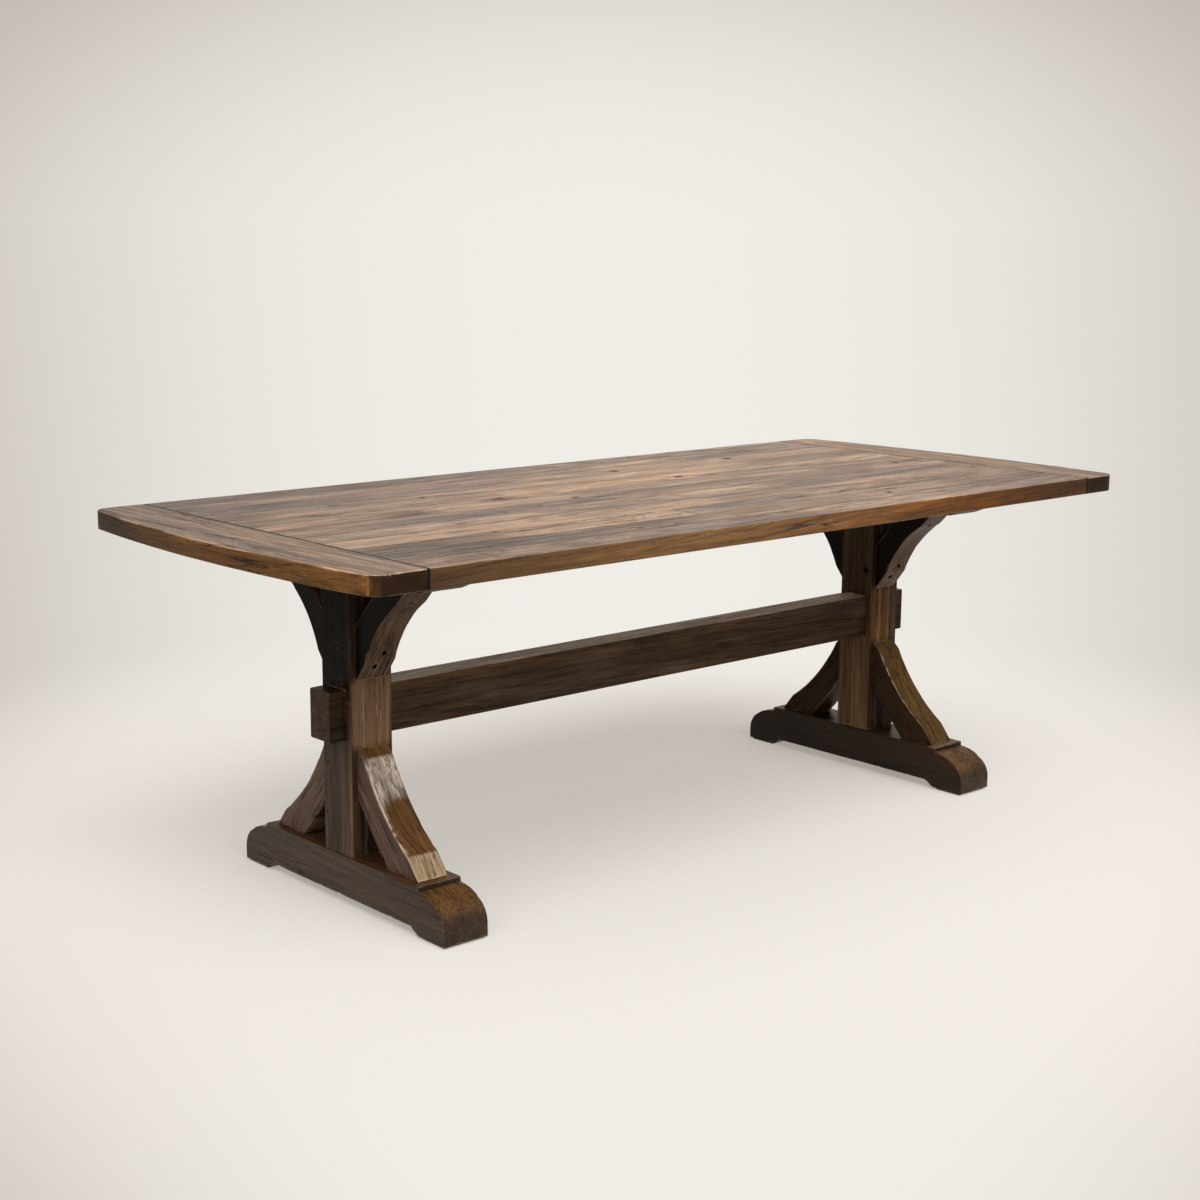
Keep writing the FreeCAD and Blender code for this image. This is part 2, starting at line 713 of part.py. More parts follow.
def board_corners(has_tenons):
    """Front view of a post board, from the foot's top to the bearer's underside."""
    low = S.foot_height
    high = bearer_underside
    if not has_tenons:
        return ((-half_post, low), (half_post, low), (half_post, high), (-half_post, high))
    half_tenon = S.tenon_width / 2
    tenon_low = low - S.foot_tenon
    tenon_high = high + S.bearer_tenon
    return ((-half_post, low), (-half_tenon, low), (-half_tenon, tenon_low),
            (half_tenon, tenon_low), (half_tenon, low), (half_post, low),
            (half_post, high), (half_tenon, high), (half_tenon, tenon_high),
            (-half_tenon, tenon_high), (-half_tenon, high), (-half_post, high))


def bore_core(body):
    """Holes in the core board for brace screws, brace dowels and the stretcher's lock screw."""
    pilots = new_sketch(body, "pilot_sketch", "XZ_Plane", -half_post)
    for drop, shift in ((low_screw_drop, -1), (high_screw_drop, 1)):
        add_circle(pilots, S.screw_offset * shift, bearer_underside - drop,
                   S.screw_radius + S.pilot_clearance)
    pilot_holes = cut(body, pilots, "pilots", S.screw_bite + S.pilot_gap, reverse=True)
    dowels = new_sketch(body, "dowel_sketch", "XZ_Plane", -half_post)
    add_circle(dowels, ZERO, S.foot_height + post_dowel_rise,
               S.dowel_radius + S.pilot_clearance)
    dowel_holes = cut(body, dowels, "dowel_holes", S.dowel_bite + S.pilot_gap, reverse=True)
    mirror(body, "both_faces", [pilot_holes, dowel_holes], "XZ_Plane")

    lock = new_sketch(body, "lock_sketch", "XZ_Plane", -half_post)
    add_circle(lock, ZERO, stretcher_middle, S.lock_screw_radius + S.pilot_clearance)
    cut(body, lock, "lock_hole", half_post - S.stretcher_thickness / 2 + 1, reverse=True)
    seat = new_sketch(body, "lock_seat_sketch", "XZ_Plane", -half_post)
    add_circle(seat, ZERO, stretcher_middle, S.lock_head_radius + S.pilot_clearance)
    cut(body, seat, "lock_seat", S.lock_head_height, reverse=True)


def make_post_board(side_name, side, layer):
    """One of a post's three boards; layer -1, 0 or 1 counts along X."""
    place = {0: "core", side: "outer", -side: "inner"}[layer]
    body = new_body("post_" + side_name + "_" + place,
                    (half_pedestals * side + board_thickness * layer, ZERO, ZERO))
    outline = new_sketch(body, "outline", "YZ_Plane")
    add_outline(outline, board_corners(has_tenons=(layer == 0)))
    pad(body, outline, "board", board_thickness, symmetric=True)
    window = new_sketch(body, "window_sketch", "YZ_Plane")
    half_beam = S.stretcher_thickness / 2
    add_rectangle(window, -half_beam, half_beam, stretcher_bottom,
                  stretcher_bottom + S.stretcher_height)
    cut(body, window, "window")
    if layer == 0:
        bore_core(body)
        return body

    def show_edge(box, edge):
        at_corner = near(box.Center.x, board_thickness.value / 2 * layer)
        upright = box.ZLength > S.stretcher_height.value * 2
        return at_corner and upright
    round_edges(body, "arris", S.post_arris, show_edge)
    return body


def make_stretcher():
    """Beam that runs through both posts and stands proud of them."""
    half_length = half_pedestals + S.post_width / 2 + S.stretcher_projection
    body = new_body("stretcher", (ZERO, ZERO, stretcher_bottom))
    outline = new_sketch(body, "section", "YZ_Plane")
    half_beam = S.stretcher_thickness / 2
    add_rectangle(outline, -half_beam, half_beam, ZERO, S.stretcher_height)
    pad(body, outline, "beam", half_length * 2, symmetric=True)
    pilots = new_sketch(body, "pilot_sketch", "XZ_Plane", -half_beam)
    for side in (-1, 1):
        add_circle(pilots, half_pedestals * side, S.stretcher_height / 2,
                   S.lock_screw_radius + S.pilot_clearance)
    cut(body, pilots, "lock_pilots", S.lock_screw_bite + S.pilot_gap, reverse=True)

    def end_edge(box, edge):
        return flat_at(abs(box.XMin), abs(box.XMax), half_length.value)
    round_edges(body, "end_arris", S.stretcher_arris, end_edge)
    return body


# ---------------------------------------------------------------- braces

def brace_outline(sketch, prefix):
    """Side view of a brace, out from the post face and away from its seat.

    The show side has a bevel at the head, a long hollow curve and a bevel at the toe;
    the back is slightly hollow too.
    """
    reach, rise, seat, cheek, head_run, head_drop, toe_run, toe_drop, hollow = (
        getattr(S, prefix + part) for part in (
            "_reach", "_rise", "_seat", "_cheek", "_head_run", "_head_drop",
            "_toe_run", "_toe_drop", "_hollow_radius"))
    add_outline(sketch, (
        (ZERO, rise - cheek, S.brace_back_radius, "left"),
        (reach - seat, ZERO), (reach, ZERO), (reach - toe_run, toe_drop, hollow, "right"),
        (head_run, rise - head_drop), (ZERO, rise)))


def brace_placement(upper, side, face):
    """Where a brace's corner between post and seat lies, and how it is turned."""
    height = bearer_underside if upper else S.foot_height
    position = (half_pedestals * side, half_post * face, height)
    if not upper:
        return position, Rotation(Z_AXIS, 0 if face > 0 else 180)
    axis = Vector(0, 1, 0) if face > 0 else Vector(1, 0, 0)
    return position, Rotation(axis, 180)


def bore_upper_brace(body, turned):
    """Open screw holes: two into the post and one up into the bearer."""
    for name, drop, shift in (("low", low_screw_drop, -1), ("high", high_screw_drop, 1)):
        across = S.screw_offset * shift * turned
        shank = new_sketch(body, name + "_shank_sketch", "XZ_Plane")
        add_circle(shank, across, drop, S.screw_radius + S.pilot_clearance)
        cut(body, shank, name + "_shank", S.screw_grip + 1)
        head = new_sketch(body, name + "_head_sketch", "XZ_Plane", -S.screw_grip)
        add_circle(head, across, drop, head_hole_radius)
        cut(body, head, name + "_head", S.upper_reach)
    shank = new_sketch(body, "toe_shank_sketch", "XY_Plane")
    add_circle(shank, ZERO, toe_screw_out, S.screw_radius + S.pilot_clearance)
    cut(body, shank, "toe_shank", S.toe_screw_grip + 1, reverse=True)
    head = new_sketch(body, "toe_head_sketch", "XY_Plane", S.toe_screw_grip)
    add_circle(head, ZERO, toe_screw_out, head_hole_radius)
    cut(body, head, "toe_head", S.upper_rise, reverse=True)


def bore_lower_brace(body):
    """Blind dowel holes into the post face and the foot's top."""
    post_hole = new_sketch(body, "post_dowel_sketch", "XZ_Plane")
    add_circle(post_hole, ZERO, post_dowel_rise, S.dowel_radius + S.pilot_clearance)
    cut(body, post_hole, "post_dowel", S.dowel_bite + S.pilot_gap)
    foot_hole = new_sketch(body, "foot_dowel_sketch", "XY_Plane")
    add_circle(foot_hole, ZERO, foot_dowel_out, S.dowel_radius + S.pilot_clearance)
    cut(body, foot_hole, "foot_dowel", S.dowel_bite + S.pilot_gap, reverse=True)


def make_brace(level, side_name, side, face_name, face):
    upper = level == "upper"
    position, rotation = brace_placement(upper, side, face)
    label = level + "_brace_" + side_name + "_" + face_name
    body = new_body(label, position, rotation)
    outline = new_sketch(body, "profile", "YZ_Plane")
    brace_outline(outline, level)
    pad(body, outline, "board", S.brace_thickness, symmetric=True)
    reach = getattr(S, level + "_reach").value
    rise = getattr(S, level + "_rise").value

    def on_show_side(box):
        return box.Center.y / reach + box.Center.z / rise > 1 - HOLLOW_SHARE

    def ridge(box, edge):
        across_brace = near(box.YLength, 0) and near(box.ZLength, 0)
        clear_of_seats = box.YMin > S.brace_arris.value and box.ZMin > S.brace_arris.value
        return on_show_side(box) and across_brace and clear_of_seats
    round_edges(body, "ridges", S.brace_ridge, ridge)

    def show_edge(box, edge):
        along_profile = near(box.XLength, 0) and not near(box.YLength, 0)
        return on_show_side(box) and along_profile and not near(box.ZLength, 0)
    round_edges(body, "arris", S.brace_arris, show_edge)
    if upper:
        bore_upper_brace(body, turned=(-1 if face > 0 else 1))
    else:
        bore_lower_brace(body)
    return body


# ---------------------------------------------------------------- fasteners

def make_brace_screws():
    """Three screws through each upper brace: two into the post, one into the bearer."""
    members = []
    for side_name, side in SIDES:
        centre = half_pedestals * side
        for face_name, face in FACES:
            inward = Vector(0, -face, 0)
            for name, drop, shift in (("low", low_screw_drop, -1),
                                      ("high", high_screw_drop, 1)):
                seat = (centre + S.screw_offset * shift, (half_post + S.screw_grip) * face,
                        bearer_underside - drop)
                members.append(screw("_".join(("brace_screw", side_name, face_name, name)),
                                     seat, inward, S.screw_radius, S.screw_grip + S.screw_bite,
                                     S.head_radius, S.head_height))
            seat = (centre, (half_post + toe_screw_out) * face,
                    bearer_underside - S.toe_screw_grip)
            members.append(screw("_".join(("brace_screw", side_name, face_name, "toe")),
                                 seat, Z_AXIS, S.screw_radius,
                                 S.toe_screw_grip + S.screw_bite, S.head_radius,
                                 S.head_height))
    return group("brace_screws", members)


def make_top_screws():
    """Screws and washers in the bearers' slotted holes, up into the staves."""
    members = []
    seat_height = bearer_underside + S.top_screw_recess
    through = S.bearer_depth - S.top_screw_recess + S.top_screw_bite
    for side_name, side in SIDES:
        for index, position in enumerate(top_screw_positions()):
            name = "top_screw_" + side_name + str(index)
            seat = (half_pedestals * side, position, seat_height)
            under_washer = step_along(seat, (0, 0, -1), S.washer_thickness)
            members.append(fuse(name, [
                rod(name + "_shank", S.top_screw_radius, through, seat, Z_AXIS),
                rod(name + "_washer", S.washer_radius, S.washer_thickness, under_washer, Z_AXIS),
                rod(name + "_head", S.lock_head_radius, S.lock_head_height, under_washer,
                    Vector(0, 0, -1))]))
    return group("top_screws", members)


def make_brace_dowels():
    """Two hidden dowels per lower brace: one into the post, one into the foot."""
    members = []
    length = S.dowel_bite * 2
    for side_name, side in SIDES:
        centre = half_pedestals * side
        for face_name, face in FACES:
            name = "dowel_" + side_name + "_" + face_name
            start = (centre, (half_post - S.dowel_bite) * face, S.foot_height + post_dowel_rise)
            members.append(rod(name + "_post", S.dowel_radius, length, start, Vector(0, face, 0)))
            start = (centre, (half_post + foot_dowel_out) * face, S.foot_height - S.dowel_bite)
            members.append(rod(name + "_foot", S.dowel_radius, length, start, Z_AXIS))
    return group("brace_dowels", members)


def make_lock_screws():
    """One screw through the back cheek of each post into the stretcher."""
    members = []
    grip = half_post - S.lock_head_height - S.stretcher_thickness / 2
    for side_name, side in SIDES:
        seat = (half_pedestals * side, half_post - S.lock_head_height, stretcher_middle)
        members.append(screw("lock_screw_" + side_name, seat, Vector(0, -1, 0),
                             S.lock_screw_radius, grip + S.lock_screw_bite,
                             S.lock_head_radius, S.lock_head_height))
    return group("stretcher_lock_screws", members)


def make_breadboard_pegs():
    """Pegs from below through each groove's lower wall and the tongue."""
    members = []
    length = peg_depth - S.pilot_clearance
    for side_name, side in SIDES:
        for index, peg in enumerate(peg_positions()):
            start = (peg_line * side, peg, top_underside)
            members.append(rod("peg_" + side_name + str(index), S.peg_radius, length,
                               start, Z_AXIS))
    return group("breadboard_pegs", members)


def make_glide_nails():
    members = []
    for side_name, side in SIDES:
        for face_name, face in FACES:
            for index, offset in enumerate((-1, 1)):
                seat = (half_pedestals * side, glide_middle * face + S.nail_spread * offset,
                        S.nail_recess)
                reach = S.glide_thickness - S.nail_recess + S.nail_bite
                members.append(screw("_".join(("nail", side_name, face_name, str(index))),
                                     seat, Z_AXIS, S.nail_radius, reach,
                                     S.nail_head_radius, S.nail_head_height))
    return group("glide_nails", members)


# ---------------------------------------------------------------- assembly and output

def build_table():
    """Makes every sub-part and returns them in bench order."""
    parts = []
    for row in range(int(S.stave_rows.value)):
        for side_name, side in SIDES:
            parts.append(make_stave(row, side_name, side))
    for side_name, side in SIDES:
        parts.append(make_breadboard_end(side_name, side))
        parts.append(make_bearer(side_name, side))
        parts.append(make_foot(side_name, side))
        for layer in (-1, 0, 1):
            parts.append(make_post_board(side_name, side, layer))
        for face_name, face in FACES:
            parts.append(make_glide(side_name, side, face_name, face))
            for level in ("lower", "upper"):
                parts.append(make_brace(level, side_name, side, face_name, face))
    parts.append(make_stretcher())
    parts.append(make_brace_screws())
    parts.append(make_top_screws())
    parts.append(make_brace_dowels())
    parts.append(make_lock_screws())
    parts.append(make_breadboard_pegs())
    parts.append(make_glide_nails())
    return parts


def check_document(parts):
    """Stops if a feature failed, a pocket removed nothing or a shape is not sound."""
    for item in doc.Objects:
        if "Invalid" in item.State or "Error" in item.State:
            raise RuntimeError("failed feature: " + item.Name + " " + str(item.State))
        if item.TypeId == "PartDesign::Pocket":
            if not item.Shape.Volume < item.BaseFeature.Shape.Volume:
                raise RuntimeError("pocket removes nothing: " + item.Name)
    for part in parts:
        if part.Shape.isNull() or not part.Shape.isValid():
            raise RuntimeError("bad shape: " + part.Label)


def write_parts(parts):
    os.makedirs("parts", exist_ok=True)
    for part in parts:
        part.Shape.exportStep("parts/" + part.Label + ".step")


table_parts = build_table()
doc.recompute()
check_document(table_parts)
write_parts(table_parts)
for table_part in table_parts:
    print(table_part.Label, len(table_part.Shape.Solids), round(table_part.Shape.Volume))
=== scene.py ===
import math
import random

import bmesh
import bpy
import numpy as np
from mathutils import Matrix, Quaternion, Vector, kdtree


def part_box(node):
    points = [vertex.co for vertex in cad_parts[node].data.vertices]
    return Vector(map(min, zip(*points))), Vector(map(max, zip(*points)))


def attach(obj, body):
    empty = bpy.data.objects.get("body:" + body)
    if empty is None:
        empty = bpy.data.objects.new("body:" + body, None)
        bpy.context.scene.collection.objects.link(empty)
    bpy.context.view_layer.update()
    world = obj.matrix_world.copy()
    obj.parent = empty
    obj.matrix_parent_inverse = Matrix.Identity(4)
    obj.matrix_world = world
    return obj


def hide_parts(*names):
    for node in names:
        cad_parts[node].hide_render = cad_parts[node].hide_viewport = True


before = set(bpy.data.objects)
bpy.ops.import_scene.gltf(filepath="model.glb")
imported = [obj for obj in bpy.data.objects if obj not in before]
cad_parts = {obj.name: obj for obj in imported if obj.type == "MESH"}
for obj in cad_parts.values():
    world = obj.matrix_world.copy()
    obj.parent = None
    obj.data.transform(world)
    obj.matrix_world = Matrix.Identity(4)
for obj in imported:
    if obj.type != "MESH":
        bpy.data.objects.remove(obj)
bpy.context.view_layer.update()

# Lengths are metres in the row frame: X along the table, Y across it (front is -Y), Z up.
# Colours are linear.

X, Y, Z = (1, 0, 0), (0, 1, 0), (0, 0, 1)
SIDES = {"left": -1, "right": 1}
FACES = {"front": -1, "back": 1}
TOP_HEIGHT = 0.762
HALF_FIELD = 0.956
FOOT_TOP = 0.102

TONES = {
    "chalk": (0.520, 0.410, 0.320),
    "bone": (0.420, 0.330, 0.260),
    "straw": (0.375, 0.245, 0.158),
    "sand": (0.325, 0.210, 0.133),
    "rose": (0.262, 0.168, 0.112),
    "ash": (0.222, 0.145, 0.098),
    "slate": (0.148, 0.098, 0.068),
    "umber": (0.168, 0.105, 0.067),
    "fawn": (0.222, 0.134, 0.068),
    "tawny": (0.155, 0.091, 0.054),
    "cedar": (0.112, 0.062, 0.035),
    "teak": (0.190, 0.112, 0.062),
    "cocoa": (0.125, 0.072, 0.044),
    "honey": (0.235, 0.120, 0.048),
    "rust": (0.197, 0.070, 0.010),
    "amber": (0.182, 0.083, 0.025),
    "drift": (0.125, 0.076, 0.042),
    "oak": (0.108, 0.052, 0.016),
    "chestnut": (0.086, 0.044, 0.016),
    "clove": (0.088, 0.052, 0.032),
    "nutmeg": (0.074, 0.042, 0.019),
    "resin": (0.062, 0.028, 0.010),
    "walnut": (0.062, 0.037, 0.021),
    "hazel": (0.096, 0.060, 0.033),
    "dusk": (0.092, 0.067, 0.051),
    "plum": (0.070, 0.044, 0.029),
    "tar": (0.033, 0.018, 0.008),
    "bark": (0.038, 0.022, 0.012),
    "pitch": (0.030, 0.015, 0.007),
    "ember": (0.024, 0.011, 0.004),
    "soot": (0.008, 0.005, 0.003),
}

# Boards of each row, from the front row to the back one: the first one's tone, then where each
# further one starts along X, and its tone.
TOP_BOARDS = (
    ("rose", (-0.80, "ash"), (-0.30, "ash"), (0.06, "straw"), (0.50, "rose")),
    ("slate", (-0.22, "ash"), (0.30, "rose"), (0.66, "umber")),
    ("umber", (-0.61, "straw"), (-0.15, "ash"), (0.22, "straw"), (0.63, "rose")),
    ("straw", (-0.75, "straw"), (0.01, "ash"), (0.45, "sand")),
    ("rose", (-0.75, "straw"), (-0.40, "rose"), (0, "straw"), (0.27, "ash"), (0.44, "rose")),
    ("rose", (-0.78, "ash"), (-0.45, "rose"), (0.21, "rose"), (0.70, "sand")),
    ("rose", (-0.68, "umber"), (-0.55, "straw"), (0.15, "straw"), (0.58, "rose")),
    ("rose", (-0.30, "straw"), (0.31, "sand"), (0.74, "straw")),
    ("umber", (-0.85, "sand"), (-0.34, "straw"), (0.30, "straw"), (0.52, "rose")),
    ("slate", (-0.55, "rose"), (-0.15, "straw"), (0.56, "sand")),
    ("slate", (-0.87, "rose"), (-0.20, "rose"), (0.16, "straw"), (0.45, "rose")),
    ("cocoa", (-0.41, "slate"), (0, "ash"), (0.38, "sand")),
)


# -------- numbers


def smoothstep(value, low, high):
    """Goes smoothly from 0 at low to 1 at high; low may be the larger of the two."""
    share = np.clip((value - low) / (high - low), 0, 1)
    return share * share * (3 - 2 * share)


def between(value, low, high, soft):
    """1 between low and high, and 0 outside."""
    return smoothstep(value, low - soft, low + soft) * smoothstep(value, high + soft, high - soft)


def facing(normals, axis, low, high):
    """The smoothstep of how squarely each face looks along an axis, either way."""
    return smoothstep(np.abs(normals[:, axis]), low, high)


def lattice(cell, seed):
    """A repeatable value from 0 to 1 for each integer cell."""
    code = cell[:, 0] * 374761393 + cell[:, 1] * 668265263 + cell[:, 2] * 1442695041 + seed * 69069
    code = code & 0xFFFFFFFF
    code = ((code ^ (code >> 13)) * 1274126177) & 0xFFFFFFFF
    code = ((code ^ (code >> 16)) * 668265263) & 0xFFFFFFFF
    return (code >> 12 & 0xFFFF) / 0xFFFF


def noise(points, size, seed):
    """Smooth noise from 0 to 1; size is the length of its features along each axis."""
    place = points / size
    cell = np.floor(place).astype(np.int64)
    share = smoothstep(place - cell, 0, 1)
    total = np.zeros(len(points))
    for corner in np.ndindex(2, 2, 2):
        weight = np.prod(np.where(corner, share, 1 - share), axis=1)
        total += weight * lattice(cell + corner, seed)
    return total


def mix(first, second, share):
    share = np.asarray(share)[..., None]
    return np.asarray(first) * (1 - share) + np.asarray(second) * share


# -------- meshes from the CAD nodes

FLAT_ANGLE = math.radians(0.6)
SHARP_ANGLE = math.radians(40)
ARRIS_ANGLE = math.radians(14)
SMOOTH_ANGLE = math.radians(38)
WELD_GAP = 1e-6
MERGE_GAP = 0.00004
ARRIS_STEP = 0.002
WORN_REACH = 0.0045
# Lengths of the waves, dents and chips in worn wood: along the grain, across and through it.
WAVES = (0.13, 0.035, 0.035)
DENTS = (0.035, 0.012, 0.012)
CHIPS = (0.016, 0.009, 0.009)


def joined(node):
    """The CAD node's mesh with its faces joined at their corners."""
    bm = bmesh.new()
    bm.from_mesh(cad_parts[node].data)
    bmesh.ops.remove_doubles(bm, verts=bm.verts, dist=WELD_GAP)
    return bm


def flattened(node):
    """The joined mesh with each flat area as one face."""
    bm = joined(node)
    bmesh.ops.dissolve_limit(bm, angle_limit=FLAT_ANGLE, verts=bm.verts, edges=bm.edges)
    return bm


def ease_edges(bm, width):
    """Takes a small bevel off every sharp outer edge."""
    sharp = [edge for edge in bm.edges
             if edge.is_manifold and edge.is_convex and edge.calc_face_angle() > SHARP_ANGLE]
    bmesh.ops.bevel(bm, geom=sharp, offset=width, offset_type="OFFSET", segments=2,
                    profile=0.5, affect="EDGES", clamp_overlap=True)


def cut_at(bm, axis, place):
    """Adds edges where a plane across the axis meets the mesh."""
    normal = Vector((X, Y, Z)[axis])
    bmesh.ops.bisect_plane(bm, geom=bm.verts[:] + bm.edges[:] + bm.faces[:], dist=WELD_GAP,
                           plane_co=normal * place, plane_no=normal)


def slice_up(bm, node, steps):
    """Divides the mesh by planes a step apart along each axis, so that it can be shaped."""
    low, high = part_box(node)
    for axis, step in enumerate(steps):
        count = max(1, round((high[axis] - low[axis]) / step))
        for index in range(1, count):
            cut_at(bm, axis, low[axis] + (high[axis] - low[axis]) * index / count)


def edge_points(bm, convex):
    """Points ARRIS_STEP apart along the outer or the inner arrises."""
    found = []
    for edge in bm.edges:
        if edge.is_manifold and edge.is_convex == convex and edge.calc_face_angle() > ARRIS_ANGLE:
            first, last = (vert.co for vert in edge.verts)
            count = max(1, round(edge.calc_length() / ARRIS_STEP))
            found += [first.lerp(last, index / count) for index in range(count + 1)]
    return found


def nearness(points, marks):
    """1 on the marked points and 0 from WORN_REACH away."""
    if not marks:
        return np.zeros(len(points))
    tree = kdtree.KDTree(len(marks))
    for index, mark in enumerate(marks):
        tree.insert(mark, index)
    tree.balance()
    gaps = np.array([tree.find(point)[2] for point in points])
    return smoothstep(gaps, WORN_REACH, 0)


def integers(items, field):
    values = np.empty(len(items), np.int32)
    items.foreach_get(field, values)
    return values


def vectors(items, field):
    values = np.empty(len(items) * 3, np.float32)
    items.foreach_get(field, values)
    return values.reshape(-1, 3).astype(float)


def vertices_of(mesh):
    """Place and normal of each vertex."""
    return vectors(mesh.vertices, "co"), vectors(mesh.vertex_normals, "vector")


def corners_of(mesh):
    """The point and the face normal at each corner of each face."""
    totals = integers(mesh.polygons, "loop_total")
    points = vectors(mesh.vertices, "co")[integers(mesh.loops, "vertex_index")]
    return points, np.repeat(vectors(mesh.polygons, "normal"), totals, axis=0)


def write_looks(mesh, grain, tint, wear):
    """The attributes that the wood materials read; tint and grain are given at each corner."""
    looks = (("wear", "FLOAT", "POINT", "value", wear),
             ("grain", "FLOAT_VECTOR", "CORNER", "vector", grain),
             ("tint", "FLOAT_COLOR", "CORNER", "color", tint))
    for name, kind, domain, field, values in looks:
        attribute = mesh.attributes.new(name, kind, domain)
        attribute.data.foreach_set(field, np.ascontiguousarray(values, np.float32).ravel())


def cuts_round(place, hole_axis, radius):
    """Cuts that give the mesh points on a hole's rim and centre."""
    return [(axis, place[axis] + step) for axis in range(3) if axis != hole_axis
            for step in (-radius, 0, radius)]


def everywhere(points, normals=None):
    return np.ones(len(points))


def mesh_from(bm, node):
    mesh = bpy.data.meshes.new(node + "_detailed")
    bm.to_mesh(mesh)
    bm.free()
    return mesh


def fine_mesh(node, steps, ease, extra_cuts, holes):
    """The node with eased arrises and points to shape it by, and where its arrises were."""
    bm = flattened(node)
    outer, inner = edge_points(bm, True), edge_points(bm, False)
    ease_edges(bm, ease)
    for axis, place in sum((cuts_round(*hole) for hole in holes), list(extra_cuts)):
        cut_at(bm, axis, place)
    slice_up(bm, node, steps)
    bmesh.ops.remove_doubles(bm, verts=bm.verts, dist=MERGE_GAP)
    bmesh.ops.triangulate(bm, faces=[face for face in bm.faces if len(face.verts) > 4])
    return mesh_from(bm, node), outer, inner


def wood_piece(node, slot, steps, grain, paint, figure=everywhere, tree=None,
               open_to=everywhere, ease=0.0006, shape=None, waves=0.0003, wear=0.001,
               extra_cuts=(), holes=()):
    """Replaces a wooden CAD node by a worn mesh with grain and tint on it.

    grain is three rows: the directions along the grain, across it and through it.
    paint(points, normals) gives the tint at each corner, and figure(points, normals) how
    strongly the grain shows there. open_to(points) is 1 where hands and cloths reach the
    wood, and shape(points, normals) is a further depth to take off. Pieces with the same
    tree have one grain that runs on through them. holes are knots and old nail holes: the
    place, the axis that they go in along, and the radius.
    """
    chance = random.Random(tree or node)
    mesh, outer, inner = fine_mesh(node, steps, ease, extra_cuts, holes)
    points, normals = vertices_of(mesh)
    exposed = nearness(points, outer) * open_to(points)
    seed = chance.randrange(1 << 20)
    directions = np.asarray(grain, float)
    local = points @ directions.T
    depth = waves * noise(local, WAVES, seed)
    dents = noise(local, DENTS, seed + 1)
    chips = smoothstep(noise(local, CHIPS, seed + 2), 0.62, 0.95)
    depth += wear * exposed * (dents * 0.6 + chips)
    if shape:
        depth += shape(points, normals)
    for place, _, radius in holes:
        gap = np.linalg.norm(points - place, axis=1)
        depth += 1.4 * radius * smoothstep(gap, 0.8 * radius, 0)
    points -= normals * np.maximum(depth, 0)[:, None]
    mesh.vertices.foreach_set("co", points.astype(np.float32).ravel())
    mesh.update()
    worn = exposed - nearness(points, inner)

    points, normals = corners_of(mesh)
    placed = (points - np.mean(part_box(node), axis=0)) @ directions.T
    run = points @ directions[0]
    placed[:, 0] = run + chance.uniform(-9, 9)
    placed[:, 1] += chance.uniform(-0.05, 0.05) + run * chance.uniform(-0.03, 0.03)
    placed[:, 2] += chance.uniform(0.02, 0.09) + run * chance.uniform(-0.05, 0.05)
    tint = paint(points, normals)
    for place, _, radius in holes:
        gap = np.linalg.norm(points - place, axis=1)
        tint = mix(tint, TONES["soot"], smoothstep(gap, 1.9 * radius, 0.9 * radius))
    tint = np.concatenate([tint, figure(points, normals)[:, None]], axis=1)
    write_looks(mesh, placed, tint, worn)
    add_piece(node, mesh, slot)


def add_object(name, data):
    """A new object in the scene."""
    made = bpy.data.objects.new(name, data)
    bpy.context.scene.collection.objects.link(made)
    return made


def add_piece(node, mesh, slot, smooth_angle=SMOOTH_ANGLE):
    """Puts the mesh in the CAD node's place, with the slot's material."""
    mesh.shade_smooth()
    mesh.set_sharp_from_angle(angle=smooth_angle)
    mesh.materials.clear()
    mesh.materials.append(MATERIALS[slot])
    piece = add_object(node + "_detailed", mesh)
    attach(piece, "root")
    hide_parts(node)


# -------- materials

MATERIALS = {}


class Graph:
    """Adds nodes to a shader tree; an input may be a number, a colour or a socket."""

    def __init__(self, tree):
        self.tree = tree

    def node(self, kind, inputs=None, **settings):
        made = self.tree.nodes.new("ShaderNode" + kind)
        for name, value in settings.items():
            setattr(made, name, value)
        for key, value in (inputs or {}).items():
            self.feed(made.inputs[key], value)
        return made

    def feed(self, socket, value):
        if isinstance(value, bpy.types.NodeSocket):
            self.tree.links.new(value, socket)
        else:
            socket.default_value = value

    def math(self, operation, first, second=0):
        return self.node("Math", {0: first, 1: second}, operation=operation).outputs[0]

    def add(self, *terms):
        total = terms[0]
        for term in terms[1:]:
            total = self.math("ADD", total, term)
        return total

    def times(self, first, second):
        return self.math("MULTIPLY", first, second)

    def centred(self, value):
        return self.math("SUBTRACT", value, 0.5)

    def scaled(self, vector, factors):
        return self.node("VectorMath", {0: vector, 1: factors}, operation="MULTIPLY").outputs[0]

    def noise(self, vector, factors, detail=2, roughness=0.5):
        """Noise whose features have 1 / factor metres along each axis."""
        node = self.node("TexNoise", {"Vector": self.scaled(vector, factors), "Scale": 1,
                                      "Detail": detail, "Roughness": roughness})
        return node.outputs["Fac"]

    def window(self, value, low, high, bottom=0, top=1):
        """Rises smoothly from bottom to top while the value goes from low to high."""
        node = self.node("MapRange", {"Value": value, "From Min": low, "From Max": high,
                                      "To Min": bottom, "To Max": top},
                         interpolation_type="SMOOTHSTEP", clamp=True)
        return node.outputs["Result"]

    def blend(self, share, first, second, kind="MIX"):
        node = self.node("Mix", {0: share, 6: first, 7: second}, data_type="RGBA",
                         blend_type=kind, clamp_factor=True)
        return node.outputs[2]

    def attribute(self, name, output):
        return self.node("Attribute", attribute_name=name).outputs[output]


def rgba(colour):
    return (*colour, 1)


